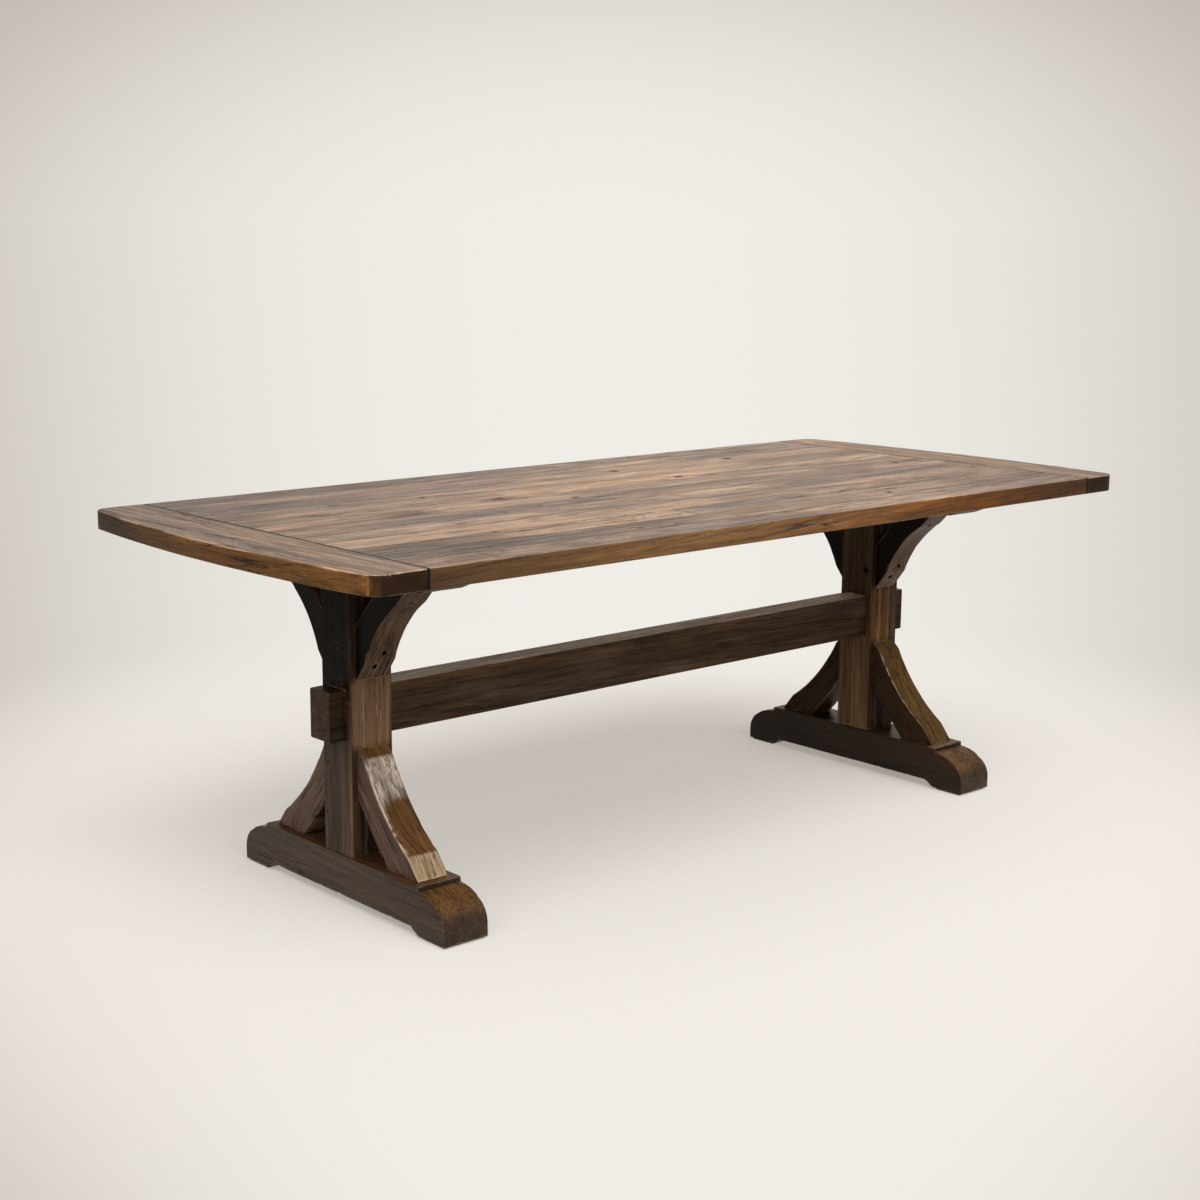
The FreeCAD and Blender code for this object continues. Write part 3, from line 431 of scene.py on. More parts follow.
# The timber group's inputs: how much a wood has of each, and last its roughness.
TIMBER_INPUTS = ("Streaks", "Weathering", "Rings", "Pores", "Checks", "Knots", "Saw marks",
                 "Sawn edges", "Rubbing", "Gloss")
# Colours that the group multiplies the stain by.
SILVERED = rgba((0.7, 0.73, 0.76))
DEEPENED = rgba((0.36, 0.3, 0.26))
RUBBED = rgba((2.3, 2.1, 1.9))
# Colours that it mixes in.
BARE_WOOD = rgba((0.36, 0.27, 0.19))
KNOT_HEART = rgba((0.016, 0.01, 0.006))
CRACK = rgba((0.008, 0.005, 0.003))
GRIME = rgba((0.01, 0.007, 0.005))
KERF_SPACING = 0.0065


def timber_group():
    """Colour, roughness and height of stained wood from the meshes' grain, tint and wear."""
    tree = bpy.data.node_groups.new("timber", "ShaderNodeTree")
    for name in TIMBER_INPUTS:
        tree.interface.new_socket(name=name, in_out="INPUT", socket_type="NodeSocketFloat")
    for name, kind in (("Colour", "Color"), ("Roughness", "Float"), ("Height", "Float")):
        tree.interface.new_socket(name=name, in_out="OUTPUT", socket_type="NodeSocket" + kind)
    graph = Graph(tree)
    given = tree.nodes.new("NodeGroupInput").outputs
    grain = graph.attribute("grain", "Vector")
    tint = graph.attribute("tint", "Color")
    figure = graph.attribute("tint", "Alpha")
    wear = graph.attribute("wear", "Fac")
    times, window, blend = graph.times, graph.window, graph.blend

    def spots(along, across, low, high, detail=2, roughness=0.5):
        """Noise with 1 / along and 1 / across metres for its features, from 0 to 1."""
        field = graph.noise(grain, (along, across, across), detail, roughness)
        return window(field, low, high)

    # knots: a few cells of a stretched cell pattern
    cells = graph.node("TexVoronoi", {"Vector": graph.scaled(grain, (4.5, 8, 8)), "Scale": 1},
                       voronoi_dimensions="3D")
    lot = graph.node("SeparateColor", {"Color": cells.outputs["Color"]}).outputs["Red"]
    chosen = graph.math("LESS_THAN", lot, given["Knots"])
    ragged = graph.noise(grain, (60, 90, 90), 3)
    from_knot = graph.add(cells.outputs["Distance"], times(ragged, 0.05))
    knot = times(window(from_knot, 0.13, 0.08), chosen)
    halo = times(window(from_knot, 0.45, 0.09), chosen)
    swirl = times(window(from_knot, 0.5, 0.05), graph.math("GREATER_THAN", lot, 0.8))

    # growth rings round a pith that lies along the board
    wander = graph.noise(grain, (1.6, 9, 9), 4, 0.55)
    flat = graph.scaled(grain, (0, 1, 1))
    reach = graph.node("VectorMath", {0: flat}, operation="LENGTH").outputs["Value"]
    reach = graph.add(reach, times(wander, 0.05), times(halo, 0.022), times(swirl, 0.03))
    uneven = graph.noise(graph.node("CombineXYZ", {"X": times(reach, 45)}).outputs[0], (1, 1, 1))
    phase = graph.add(times(reach, 150), times(uneven, 4))
    share = graph.math("FRACT", phase)
    late = times(window(share, 0.3, 0.85), window(share, 1, 0.88))

    # tone along the grain, from broad to fine, each from 0 to 1
    broad = spots(1.1, 7, 0.32, 0.68, 3, 0.6)
    streak = spots(1.6, 38, 0.36, 0.64, 4, 0.6)
    line = spots(5, 190, 0.36, 0.64, 3, 0.6)
    fibre = spots(22, 700, 0.35, 0.65)
    ashen = spots(1.3, 21, 0.5, 0.68, 3, 0.6)
    pores = times(window(line, 0.45, 0.15), window(fibre, 0.45, 0.75))

    # drying checks: level lines of a stretched noise, where another noise lets them show
    wavy = graph.noise(grain, (1.5, 42, 42), 3, 0.5)
    off_line = graph.math("ABSOLUTE", graph.centred(wavy))
    gate = spots(2.3, 7, 0.54, 0.62)
    check = times(times(window(off_line, 0.012, 0.003), gate), given["Checks"])

    # short open cracks, where the figure is stronger than 1
    forked = graph.noise(grain, (6, 90, 90), 2, 0.5)
    off_fork = graph.math("ABSOLUTE", graph.centred(forked))
    opened = spots(9, 26, 0.46, 0.58)
    crack = times(times(window(off_fork, 0.032, 0.006), opened), window(figure, 1.2, 1.5))
    check = graph.math("MAXIMUM", check, crack)

    # marks of the saw, across the grain
    split = graph.node("SeparateXYZ", {"Vector": grain})
    sway = graph.noise(grain, (14, 22, 22), 2)
    along = graph.add(split.outputs["X"], times(sway, 0.012))
    kerf = graph.math("SINE", times(along, 2 * math.pi / KERF_SPACING))
    patchy = spots(9, 16, 0.4, 0.62)
    edges = times(window(figure, 0.9, 0.6), given["Sawn edges"])
    sawn = graph.add(given["Saw marks"], edges)
    saw = times(times(window(kerf, 0.2, 1), patchy), sawn)

    # colour
    shares = ((broad, 0.42), (streak, 0.62), (line, 0.44), (fibre, 0.16))
    lift = graph.add(*(times(graph.centred(tone), share) for tone, share in shares))
    lift = times(times(lift, figure), given["Streaks"])
    value = graph.math("MAXIMUM", graph.add(1.26, lift), 0.2)
    grey = graph.node("CombineColor", {"Red": value, "Green": value, "Blue": value})
    colour = blend(1, tint, grey.outputs[0], "MULTIPLY")
    silver = blend(1, colour, SILVERED, "MULTIPLY")
    colour = blend(times(ashen, given["Weathering"]), colour, silver)
    deep = blend(1, colour, DEEPENED, "MULTIPLY")
    ring = times(times(late, figure), given["Rings"])
    colour = blend(ring, colour, deep)
    colour = blend(times(pores, given["Pores"]), colour, deep)
    colour = blend(times(halo, 0.45), colour, deep)
    colour = blend(times(knot, 0.92), colour, KNOT_HEART)
    colour = blend(times(saw, 0.55), colour, deep)
    colour = blend(check, colour, CRACK)
    scuff = graph.noise(grain, (30, 60, 60), 3, 0.6)
    rubbed = window(graph.add(wear, times(graph.centred(scuff), 1.4)), 0.45, 0.8)
    worn = blend(0.45, blend(1, colour, RUBBED, "MULTIPLY"), BARE_WOOD)
    colour = blend(times(rubbed, given["Rubbing"]), colour, worn)
    grime = window(wear, -0.1, -0.8)
    colour = blend(times(grime, 0.6), colour, GRIME)

    # roughness and height in metres
    roughness = graph.add(given["Gloss"], times(line, -0.08), times(broad, 0.1),
                          times(check, 0.3), times(rubbed, -0.06), times(saw, 0.1))
    height = graph.add(times(late, -0.0001), times(pores, -0.00022), times(check, -0.0012),
                       times(streak, 0.0001), times(knot, -0.0004), times(saw, -0.0002),
                       times(line, 0.00008))
    result = tree.nodes.new("NodeGroupOutput")
    for socket, value in zip(result.inputs, (colour, roughness, height)):
        graph.feed(socket, value)
    return tree


def new_material(name):
    material = bpy.data.materials.new(name)
    material.use_nodes = True
    material.node_tree.nodes.clear()
    return material, Graph(material.node_tree)


def finish_material(graph, colour, roughness, height, **constants):
    """Connects a Principled shader; its constant values sit on its own sockets."""
    bump = graph.node("Bump", {"Strength": 1, "Distance": 1, "Height": height})
    shader = graph.node("BsdfPrincipled", {"Base Color": colour, "Roughness": roughness,
                                           "Normal": bump.outputs["Normal"]})
    for name, value in constants.items():
        shader.inputs[name].default_value = value
    graph.node("OutputMaterial", {"Surface": shader.outputs["BSDF"]})


def wood_material(name, group, values, specular):
    """The timber group with its values, in their order, and one Principled shader."""
    material, graph = new_material(name)
    timber = graph.tree.nodes.new("ShaderNodeGroup")
    timber.node_tree = group
    for socket, value in zip(timber.inputs, values):
        socket.default_value = value
    finish_material(graph, *timber.outputs, **{"IOR": 1.5, "Specular IOR Level": specular})
    return material


# For each slot: the values of TIMBER_INPUTS, and the shader's specular level.
WOODS = {
    "stave_wood": ((1.25, 0.7, 0.55, 0.6, 0.9, 0.09, 0, 0.9, 0.6, 0.3), 0.2),
    "end_board_wood": ((1.1, 0.7, 0.45, 0.6, 0.8, 0.09, 0, 0.9, 1, 0.3), 0.1),
    "post_wood": ((0.95, 0.15, 0.18, 0.8, 0.7, 0.04, 0, 0, 0.5, 0.42), 0.05),
    "foot_wood": ((0.8, 0.2, 0.25, 0.7, 0.9, 0.05, 0, 0, 0.5, 0.24), 0.15),
    "brace_wood": ((0.8, 0.2, 0.22, 0.9, 0.9, 0.06, 0, 0, 0.7, 0.32), 0.05),
    "bearer_wood": ((0.9, 0.2, 0.3, 0.5, 0.6, 0.06, 0.3, 0, 0.4, 0.45), 0.1),
    "stretcher_wood": ((0.9, 0.2, 0.18, 0.8, 0.9, 0.05, 0.2, 0, 0.5, 0.38), 0.07),
    "dowel_wood": ((0.5, 0, 0.3, 0.4, 0, 0, 0, 0, 0, 0.45), 0.5),
}


def speckled_material(name, colour, metallic, roughness, fleck):
    """Steel or moulded plastic: a fine grain with darker blotches, rougher where it is worn."""
    material, graph = new_material(name)
    place = graph.node("TexCoord").outputs["Object"]
    fine = graph.noise(place, (900, 900, 900), 3)
    blotch = graph.window(graph.noise(place, (140, 140, 140), 4), 0.4, 0.65)
    dark, bright = (rgba(share * value for value in colour) for share in (0.4, 2.2))
    shade = graph.blend(graph.times(blotch, fleck), rgba(colour), dark)
    edge = graph.window(graph.node("NewGeometry").outputs["Pointiness"], 0.51, 0.56)
    shade = graph.blend(graph.times(edge, 0.5), shade, bright)
    rough = graph.add(roughness, graph.times(blotch, 0.2), graph.times(fine, 0.1))
    finish_material(graph, shade, rough, graph.times(fine, 0.00004), Metallic=metallic)
    return material


def make_materials():
    timber = timber_group()
    for slot, (values, specular) in WOODS.items():
        MATERIALS[slot] = wood_material(slot, timber, values, specular)
    MATERIALS["fastener_steel"] = speckled_material(
        "fastener_steel", (0.1, 0.09, 0.08), metallic=1, roughness=0.38, fleck=0.6)
    MATERIALS["glide_plastic"] = speckled_material(
        "glide_plastic", (0.022, 0.021, 0.02), metallic=0, roughness=0.5, fleck=0.5)


# -------- the top

# Small dark knots in the top: X, Y and radius.
TOP_KNOTS = ((-0.194, 0.005, 0.007), (0.56, 0.3, 0.009), (0.17, 0.29, 0.008),
             (0.22, 0.12, 0.008), (-0.62, -0.25, 0.006), (0.83, -0.02, 0.007),
             (-0.45, 0.21, 0.006), (0.4, -0.36, 0.007))
# Half-width of the soot painted along the breadboard seams as the shade in their gaps.
SEAM_SHADE_WIDTH = 0.0042
JOINT_REACH = 0.0006
JOINT_DEPTH = 0.0005


def row_tone(first, others, place):
    """The row's tone along X, a little paler to the right; the boards' tones blend softly."""
    colour = np.tile(TONES[first], (len(place), 1))
    for start, tone in others:
        colour = mix(colour, TONES[tone], smoothstep(place, start - 0.06, start + 0.06))
    return colour * (1 + 0.07 * place[:, None])


def quiet_edges(points, normals):
    """The grain shows less on the upright edges than on the flat faces."""
    return 1 - 0.45 * facing(normals, 2, 0.7, 0.3)


def knots_between(low, high):
    return [((x, y, TOP_HEIGHT), 2, radius) for x, y, radius in TOP_KNOTS
            if low.x < x < high.x and low.y < y < high.y]


def upper_side(points):
    return smoothstep(points[:, 2], 0.742, 0.752)


def long_sides(low, high):
    """Open only at the table's long sides, clear of the stave's own two ends."""
    def open_to(points):
        from_end = np.minimum(points[:, 0] - low.x, high.x - points[:, 0])
        from_seam = HALF_FIELD - np.abs(points[:, 0])
        return (smoothstep(np.abs(points[:, 1]), 0.482, 0.488) * smoothstep(from_end, 0.004, 0.01)
                * smoothstep(from_seam, 0.004, 0.01) * upper_side(points))
    return open_to


def outer_ends(points):
    """Open only clear of the breadboard seam, on the upper side."""
    from_seam = np.abs(points[:, 0]) - HALF_FIELD
    return smoothstep(from_seam, 0.004, 0.01) * upper_side(points)


def seam_shade(points):
    """1 along the breadboard seams: the painted shade in the seam's gap."""
    return smoothstep(np.abs(np.abs(points[:, 0]) - HALF_FIELD), SEAM_SHADE_WIDTH, 0.7 * SEAM_SHADE_WIDTH)


def seam_cuts(side, away):
    """Cuts where the painted shade of a seam fades; away is 1 outside the seam and -1 inside."""
    return [(0, side * (HALF_FIELD + away * share * SEAM_SHADE_WIDTH)) for share in (0.7, 1)]


def stave_paint(first, others):
    """The row's own tones on top, and honey to rust along the table's long sides."""
    def paint(points, normals):
        place = points[:, 0]
        sweep = 0.34 + 0.6 * smoothstep(np.abs(place), 1, 0.05)
        mottle = 0.86 + 0.3 * noise(points, (0.05, 1, 0.02), 13)
        edge = mix(TONES["honey"], TONES["rust"], smoothstep(place, -0.3, 0.7))
        edge *= (sweep * mottle)[:, None]
        colour = mix(row_tone(first, others, place), edge, facing(normals, 1, 0.55, 0.85))
        # Soot painted along the breadboard seam as the shade in its gap.
        return mix(colour, TONES["soot"], seam_shade(points))
    return paint


def joint_grooves(starts):
    """A shallow groove across the row's top where each board starts."""
    def shape(points, normals):
        gap = np.min(np.abs(points[:, :1] - starts), axis=1)
        on_top = points[:, 2] > TOP_HEIGHT - 0.003
        return JOINT_DEPTH * on_top * smoothstep(gap, JOINT_REACH, 0)
    return shape


def make_staves():
    for row, (first, *others) in enumerate(TOP_BOARDS):
        starts = np.array([-HALF_FIELD] + [start for start, _ in others])
        paint = stave_paint(first, others)
        for side_name, side in SIDES.items():
            node = f"top_stave_{row + 1:02d}_{side_name}"
            low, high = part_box(node)
            cuts = seam_cuts(side, -1)
            for start in starts:
                if low.x + 0.01 < start < high.x - 0.01:
                    cuts += [(0, start + step) for step in (-JOINT_REACH, 0, JOINT_REACH)]
            wood_piece(node, "stave_wood", (0.014, 0.0085, 0.014), (X, Y, Z), paint,
                       figure=quiet_edges, tree=f"row_{row}", open_to=long_sides(low, high),
                       ease=0.0005, shape=joint_grooves(starts), waves=0.0004, wear=0.0008,
                       extra_cuts=cuts, holes=knots_between(low, high))


def end_board_paint(points, normals):
    """Darker to the back, darkest where the end turns the corner, with a pale chipped top arris at
    the front end that is also a painted highlight.
    """
    place, turn = points[:, 1], np.abs(normals[:, 1])
    edge = mix(TONES["amber"], 0.25 * np.asarray(TONES["amber"]), smoothstep(place, -0.05, 0.42))
    edge *= 0.88 + 0.4 * noise(points, (1, 0.06, 0.02), 15)[:, None]
    edge = mix(edge, TONES["ember"], smoothstep(turn, 0.75, 0.95))
    edge = mix(edge, TONES["soot"], 0.8 * between(turn, 0.62, 0.88, 0.1))
    figure = smoothstep(noise(points, (0.05, 0.5, 0.1), 5), 0.2, 0.7)
    top = mix(TONES["umber"], TONES["ash"], figure)
    top *= 1.08 - 0.28 * smoothstep(place, -0.4, 0.4)[:, None]
    right_end = smoothstep(points[:, 0], 0, 1)
    top = mix(top, TONES["sand"], 0.8 * right_end * smoothstep(place, -0.4, 0.1))
    colour = mix(edge, top, facing(normals, 2, 0.4, 0.8))
    # Painted highlight on the worn front top arris: pale bone, ragged.
    arris = between(normals[:, 2], 0.35, 0.92, 0.05) * smoothstep(place, -0.3, -0.48)
    ragged = 0.35 + 0.65 * smoothstep(noise(points, (0.012, 0.012, 0.1), 17), 0.25, 0.6)
    colour = mix(colour, TONES["bone"], 0.8 * arris * ragged)
    # Soot painted along the breadboard seam as the shade in its gap.
    return mix(colour, TONES["soot"], seam_shade(points))


def make_end_boards():
    for side_name, side in SIDES.items():
        wood_piece("breadboard_end_" + side_name, "end_board_wood", (0.0075, 0.009, 0.01),
                   (Y, X, Z), end_board_paint, figure=quiet_edges, open_to=outer_ends,
                   waves=0.0004, wear=0.0009, extra_cuts=seam_cuts(side, 1))


# -------- pedestals and stretcher


def off_flanks(normals):
    """1 on the faces that don't look along X."""
    return facing(normals, 0, 0.8, 0.4)


# Nail holes and knots, as wood_piece takes them.
HOLES = {
    "post_left_outer": (((-0.8195, 0.0333, 0.284), 0, 0.0022), ((-0.8195, 0.0387, 0.18), 0, 0.0022),
                        ((-0.8195, -0.031, 0.494), 0, 0.0022), ((-0.8195, 0.012, 0.56), 0, 0.0018)),
    "post_right_inner": (((0.7205, -0.03, 0.506), 0, 0.006), ((0.7205, 0.02, 0.24), 0, 0.0018)),
    "lower_brace_left_front": (((-0.79, -0.151, 0.223), 1, 0.004),
                               ((-0.776, -0.097, 0.298), 1, 0.0024)),
}
# Tones of a post: its layers on the show sides, then its broad faces above and below; the tone
# above is painted shade under the top, the one below the lit lower part.
POST_TONES = {
    "left": {"outer": "tawny", "core": "cedar", "inner": "tawny", "high": "soot", "low": "dusk"},
    "right": {"outer": "walnut", "core": "oak", "inner": "oak", "high": "hazel", "low": "fawn"},
}
# The layer with marks of a band saw on its broad face, their spacing and their depth.
SAWN_LAYER = "post_left_outer"
SAWN_SPACING = 0.012
SAWN_DEPTH = 0.0005


def sawn_marks(points):
    """From 0 to 1 on the patchy marks that a band saw left above the stretcher."""
    sway = 0.03 * noise(points, (1, 0.04, 0.05), 3)
    marks = smoothstep(np.sin((points[:, 2] + sway) * 2 * math.pi / SAWN_SPACING), 0.2, 1)
    patches = smoothstep(noise(points, (1, 0.05, 0.035), 4), 0.4, 0.75)
    return marks * patches * smoothstep(points[:, 2], 0.36, 0.42)


def sawn_face(points, normals):
    return SAWN_DEPTH * smoothstep(-normals[:, 0], 0.8, 0.95) * sawn_marks(points)


def post_paint(tones, layer, sawn):
    """Show sides with painted shade above and below the open part between the braces, where the
    braces and the top shade them, and broad faces with painted shade up high under the top.
    """
    plain = np.asarray(TONES[tones[layer]])

    def paint(points, normals):
        height = points[:, 2] + 0.02 * noise(points, (0.02, 0.1, 0.02), 9)
        # Painted shade: the show sides are darkened to 0.36 outside the open part between the
        # braces.
        colour = mix(0.36 * plain, plain, between(height, 0.335, 0.47, 0.012))
        # Painted shade up high on the broad faces, under the top; the pale strip by the front arris
        # is faint in it.
        height = points[:, 2] + 0.05 * noise(points, (0.1, 0.02, 0.05), 7)
        lit_lower_part = smoothstep(height, 0.5, 0.34)
        face = mix(TONES[tones["high"]], TONES[tones["low"]], lit_lower_part)
        if sawn:
            face = mix(face, 3.5 * face, sawn_marks(points))
        strip = smoothstep(points[:, 1], -0.036, -0.042) * (0.15 + 0.75 * lit_lower_part)
        face = mix(face, TONES["teak"], strip)
        return mix(colour, face, facing(normals, 0, 0.5, 0.9))
    return paint


def make_posts():
    for side_name in SIDES:
        for layer in ("outer", "core", "inner"):
            node = f"post_{side_name}_{layer}"
            sawn = node == SAWN_LAYER
            wood_piece(node, "post_wood", (0.011, 0.0065, 0.0025 if sawn else 0.0075), (Z, Y, X),
                       post_paint(POST_TONES[side_name], layer, sawn),
                       shape=sawn_face if sawn else None, holes=HOLES.get(node, ()))


# Tones of a foot: its broad sides, its top between the braces, and the strip before each brace. The
# right foot's darker sides and darker top between the braces are painted shade.
FOOT_TONES = {
    "left": {"flank": "plum", "top": "resin", "strip": "resin"},
    "right": {"flank": "tar", "top": "pitch", "strip": "drift"},
}
# Distances from a foot's middle: where the strip begins and is full, and the step's riser.
STRIP_START = 0.244
STRIP_FULL = 0.248
RISER = 0.265


def foot_paint(tones):
    def paint(points, normals):
        away = np.abs(points[:, 1])
        nose = smoothstep(away, 0.262, 0.272)
        flank = mix(TONES[tones["flank"]], TONES["bark"], nose * facing(normals, 1, 0.5, 0.95))
        strip = smoothstep(away, STRIP_START, STRIP_FULL)
        top = mix(TONES[tones["top"]], TONES[tones["strip"]], strip)
        top = mix(top, TONES["chestnut"], nose)
        colour = mix(flank, top, smoothstep(normals[:, 2], 0.3, 0.9))
        riser = smoothstep(np.abs(away - RISER), 0.004, 0.001) * facing(normals, 1, 0.6, 0.9)
        return mix(colour, TONES["soot"], 0.8 * riser)
    return paint


def make_feet():
    cuts = [(1, place) for place in (-STRIP_FULL, -STRIP_START, STRIP_START, STRIP_FULL)]
    for side_name in SIDES:
        wood_piece("foot_" + side_name, "foot_wood", (0.0065, 0.0045, 0.0065), (Y, X, Z),
                   foot_paint(FOOT_TONES[side_name]), waves=0.0005, wear=0.0014,
                   extra_cuts=cuts)


def walnut_paint(points, normals):
    return np.tile(TONES["walnut"], (len(points), 1))


def make_bearers():
    for side_name in SIDES:
        wood_piece("bearer_" + side_name, "bearer_wood", (0.01, 0.007, 0.009), (Y, X, Z),
                   walnut_paint)


def stretcher_paint(points, normals):
    """Blotchy and darker to the right, with a paler upper band and proud end; the top is painted
    pale as a sheen.
    """
    place = points[:, 0]
    run = smoothstep(place, -0.8, 0.8)
    blotches = smoothstep(noise(points, (0.25, 1, 0.03), 11), 0.45, 0.7)
    colour = mix(mix(TONES["walnut"], TONES["tar"], run), TONES["plum"], 0.7 * blotches)
    band = mix(TONES["nutmeg"], TONES["walnut"], run)
    colour = mix(colour, band, smoothstep(points[:, 2], 0.415, 0.425))
    patches = smoothstep(noise(points, (0.16, 1, 0.035), 12), 0.5, 0.75)
    colour *= 1.08 - 0.3 * patches[:, None]
    colour *= 1 - 0.28 * smoothstep(place, 0.2, 0.75)[:, None]
    # Painted sheen: the top face is chalk-pale.
    colour = mix(colour, TONES["chalk"], smoothstep(normals[:, 2], 0.6, 0.9))
    proud = smoothstep(-place, 0.815, 0.822)
    colour = mix(colour, 0.6 * np.asarray(TONES["bark"]), proud * off_flanks(normals))
    return mix(colour, TONES["clove"], proud * smoothstep(-normals[:, 0], 0.6, 0.9))


def make_stretcher():
    wood_piece("stretcher", "stretcher_wood", (0.007, 0.0067, 0.0067), (X, Z, Y), stretcher_paint)


# Colours of the braces. Chips run down the left arris to the given width: a pale worn arris that is
# also a painted highlight.
# The upper braces' flanks are soot: painted shade under the top.
SHADED_UPPER_BRACE = {"flank": TONES["soot"], "front": (0.128, 0.076, 0.043)}
BRACE_LOOKS = {
    ("lower", "left"): {
        "flank": (0.146, 0.094, 0.068), "front": (0.116, 0.058, 0.022),
        # rubbed: the pale upper half of the show side, worn and also a painted sheen.
        "rubbed": (0.375, 0.315, 0.262), "toe": (0.3, 0.215, 0.135),
        "chips": (0.56, 0.47, 0.37), "chip_width": 0.008},
    ("lower", "right"): {
        "flank": (0.051, 0.029, 0.015), "front": (0.088, 0.048, 0.016),
        "chips": (0.5, 0.41, 0.29), "chip_width": 0.004},
    ("upper", "left"): SHADED_UPPER_BRACE,
    ("upper", "right"): SHADED_UPPER_BRACE,
}
# How far a brace leads towards the post and upwards; its grain follows that line.
BRACE_LINES = {"lower": (0.19675, 0.223), "upper": (0.173, -0.209)}


def chipped(points, edge_x, width):
    """From 0 to 1 on the ragged pale line along a brace's left arris: chipped wear and a painted
    highlight.
    """
    ragged = noise(points, (1, 0.01, 0.01), 31)
    line = smoothstep(points[:, 0] - edge_x, width * (0.4 + ragged), 0.2 * width)
    return line * smoothstep(ragged, 0.15, 0.45) * between(points[:, 2], 0.15, 0.3, 0.02)


def worn_sheen_part(points, normals):
    """1 on the upper half of a lower brace's show side, which is painted pale: worn, and a painted
    sheen.
    """
    rise = points[:, 2] - FOOT_TOP
    wander = 0.03 * (noise(points, (0.02, 0.03, 0.03), 21) - 0.5)
    part = smoothstep(rise + wander, 0.118, 0.142) * smoothstep(rise, 0.207, 0.202)
    return part * off_flanks(normals)


def toe_part(points):
    """1 on the bevel at the toe of a lower brace."""
    return smoothstep(points[:, 2] - FOOT_TOP, 0.043, 0.039)


def cracked_figure(points, normals):
    """Strong with open cracks on the worn, painted-sheen upper half, and quiet on the toe's bevel.
    """
    return 1 + 0.6 * worn_sheen_part(points, normals) - 0.4 * toe_part(points)


def brace_paint(looks, edge_x):
    def paint(points, normals):
        front = np.tile(looks["front"], (len(points), 1))
        if "rubbed" in looks:
            # The pale upper half is wear and a painted sheen.
            front = mix(front, looks["rubbed"], worn_sheen_part(points, normals))
            front = mix(front, looks["toe"], toe_part(points))
        if "chips" in looks:
            front = mix(front, looks["chips"], chipped(points, edge_x, looks["chip_width"]))
        return mix(looks["flank"], front, off_flanks(normals))
    return paint


def make_braces():
    for (level, side_name), looks in BRACE_LOOKS.items():
        inward, rise = BRACE_LINES[level]
        rubbed = "rubbed" in looks
        for face_name, face in FACES.items():
            node = f"{level}_brace_{side_name}_{face_name}"
            edge_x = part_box(node)[0].x
            along = Vector((0, -inward * face, rise)).normalized()
            across = Vector(X).cross(along)
            wood_piece(node, "brace_wood", (0.0055, 0.0045, 0.0045),
                       (tuple(along), tuple(across), X), brace_paint(looks, edge_x),
                       figure=cracked_figure if rubbed else everywhere,
                       waves=0.0005, wear=0.0026 if rubbed else 0.0016,
                       extra_cuts=[(0, edge_x + step) for step in (0.0012, 0.0026, 0.0045)],
                       holes=HOLES.get(node, ()))


# -------- fasteners and glides

FASTENER_SIDES = 20
WASHER_SIDES = 28
FASTENER_ANGLE = math.radians(35)
WASHER_BORE_EASE = 0.0002
WASHER_RIM_EASE = 0.0003
THREAD_PITCH = 0.0026
PEG_CHAMFER = 0.0008


def islands(node):
    """Points of each separate solid of a node."""
    bm = joined(node)
    left = set(bm.verts)
    found = []
    while left:
        front = [left.pop()]
        points = []
        while front:
            vert = front.pop()
            points.append(vert.co[:])
            for edge in vert.link_edges:
                other = edge.other_vert(vert)
                if other in left:
                    left.remove(other)
                    front.append(other)
        found.append(np.array(points))
    bm.free()
    return sorted(found, key=lambda points: tuple(points.mean(axis=0).round(4)))


def middle_of(points):
    return (points.min(axis=0) + points.max(axis=0)) / 2


def along_and_out(points, axis):
    """Distance of each point from the middle along the axis, and from the axis."""
    place = points - middle_of(points)
    run = place @ axis
    return run, np.linalg.norm(place - run[:, None] * axis, axis=1)


def measure(points):
    """Start, direction, length, shank radius and head of a round fastener; the head comes last."""
    axis = np.linalg.svd(points - middle_of(points), full_matrices=False)[2][0]
    run, radius = along_and_out(points, axis)
    at_head = radius > 0.98 * radius.max()
    if run[at_head].mean() < 0:
        axis, run = -axis, -run
    head_start = run[at_head].min()
    shank = radius[run < run.min() + 1e-5].max()
    start = middle_of(points) + axis * run.min()
    return start, axis, run.max() - run.min(), shank, head_start - run.min(), radius.max()


def turned(bm, profile, start, axis, sides, closed=False):
    """Adds a solid of revolution; the profile's points are (distance along, radius)."""
    side = np.cross(axis, Z if abs(axis[2]) < 0.9 else X)
    side /= np.linalg.norm(side)
    third = np.cross(axis, side)
    lines = []
    for index in range(sides):
        angle = 2 * math.pi * index / sides
        out = side * math.cos(angle) + third * math.sin(angle)
        lines.append([bm.verts.new(start + axis * distance + out * radius)
                      for distance, radius in profile])
    for line, following in zip(lines, lines[1:] + lines[:1]):
        for index in range(0 if closed else 1, len(profile)):
            bm.faces.new((line[index - 1], line[index], following[index], following[index - 1]))
    if not closed:
        for end in (0, -1):
            bm.faces.new([line[end] for line in lines])


def screw_profile(length, shank, head_start, head):
    """Pointed tip, thread, plain shank, and a head with a round recess."""
    place = 1.5 * shank
    profile = [(0, 0.15 * shank), (place, 0.78 * shank)]
    while place + THREAD_PITCH < 0.65 * head_start:
        profile += [(place + 0.5 * THREAD_PITCH, shank), (place + THREAD_PITCH, 0.78 * shank)]
        place += THREAD_PITCH
    height = length - head_start
    return profile + [(place + THREAD_PITCH, 0.92 * shank), (head_start, 0.92 * shank),
                      (head_start, head - 0.0003), (head_start + 0.3 * height, head),
                      (head_start + 0.75 * height, 0.86 * head), (length, 0.52 * head),
                      (length - 0.5 * height, 0.46 * head)]


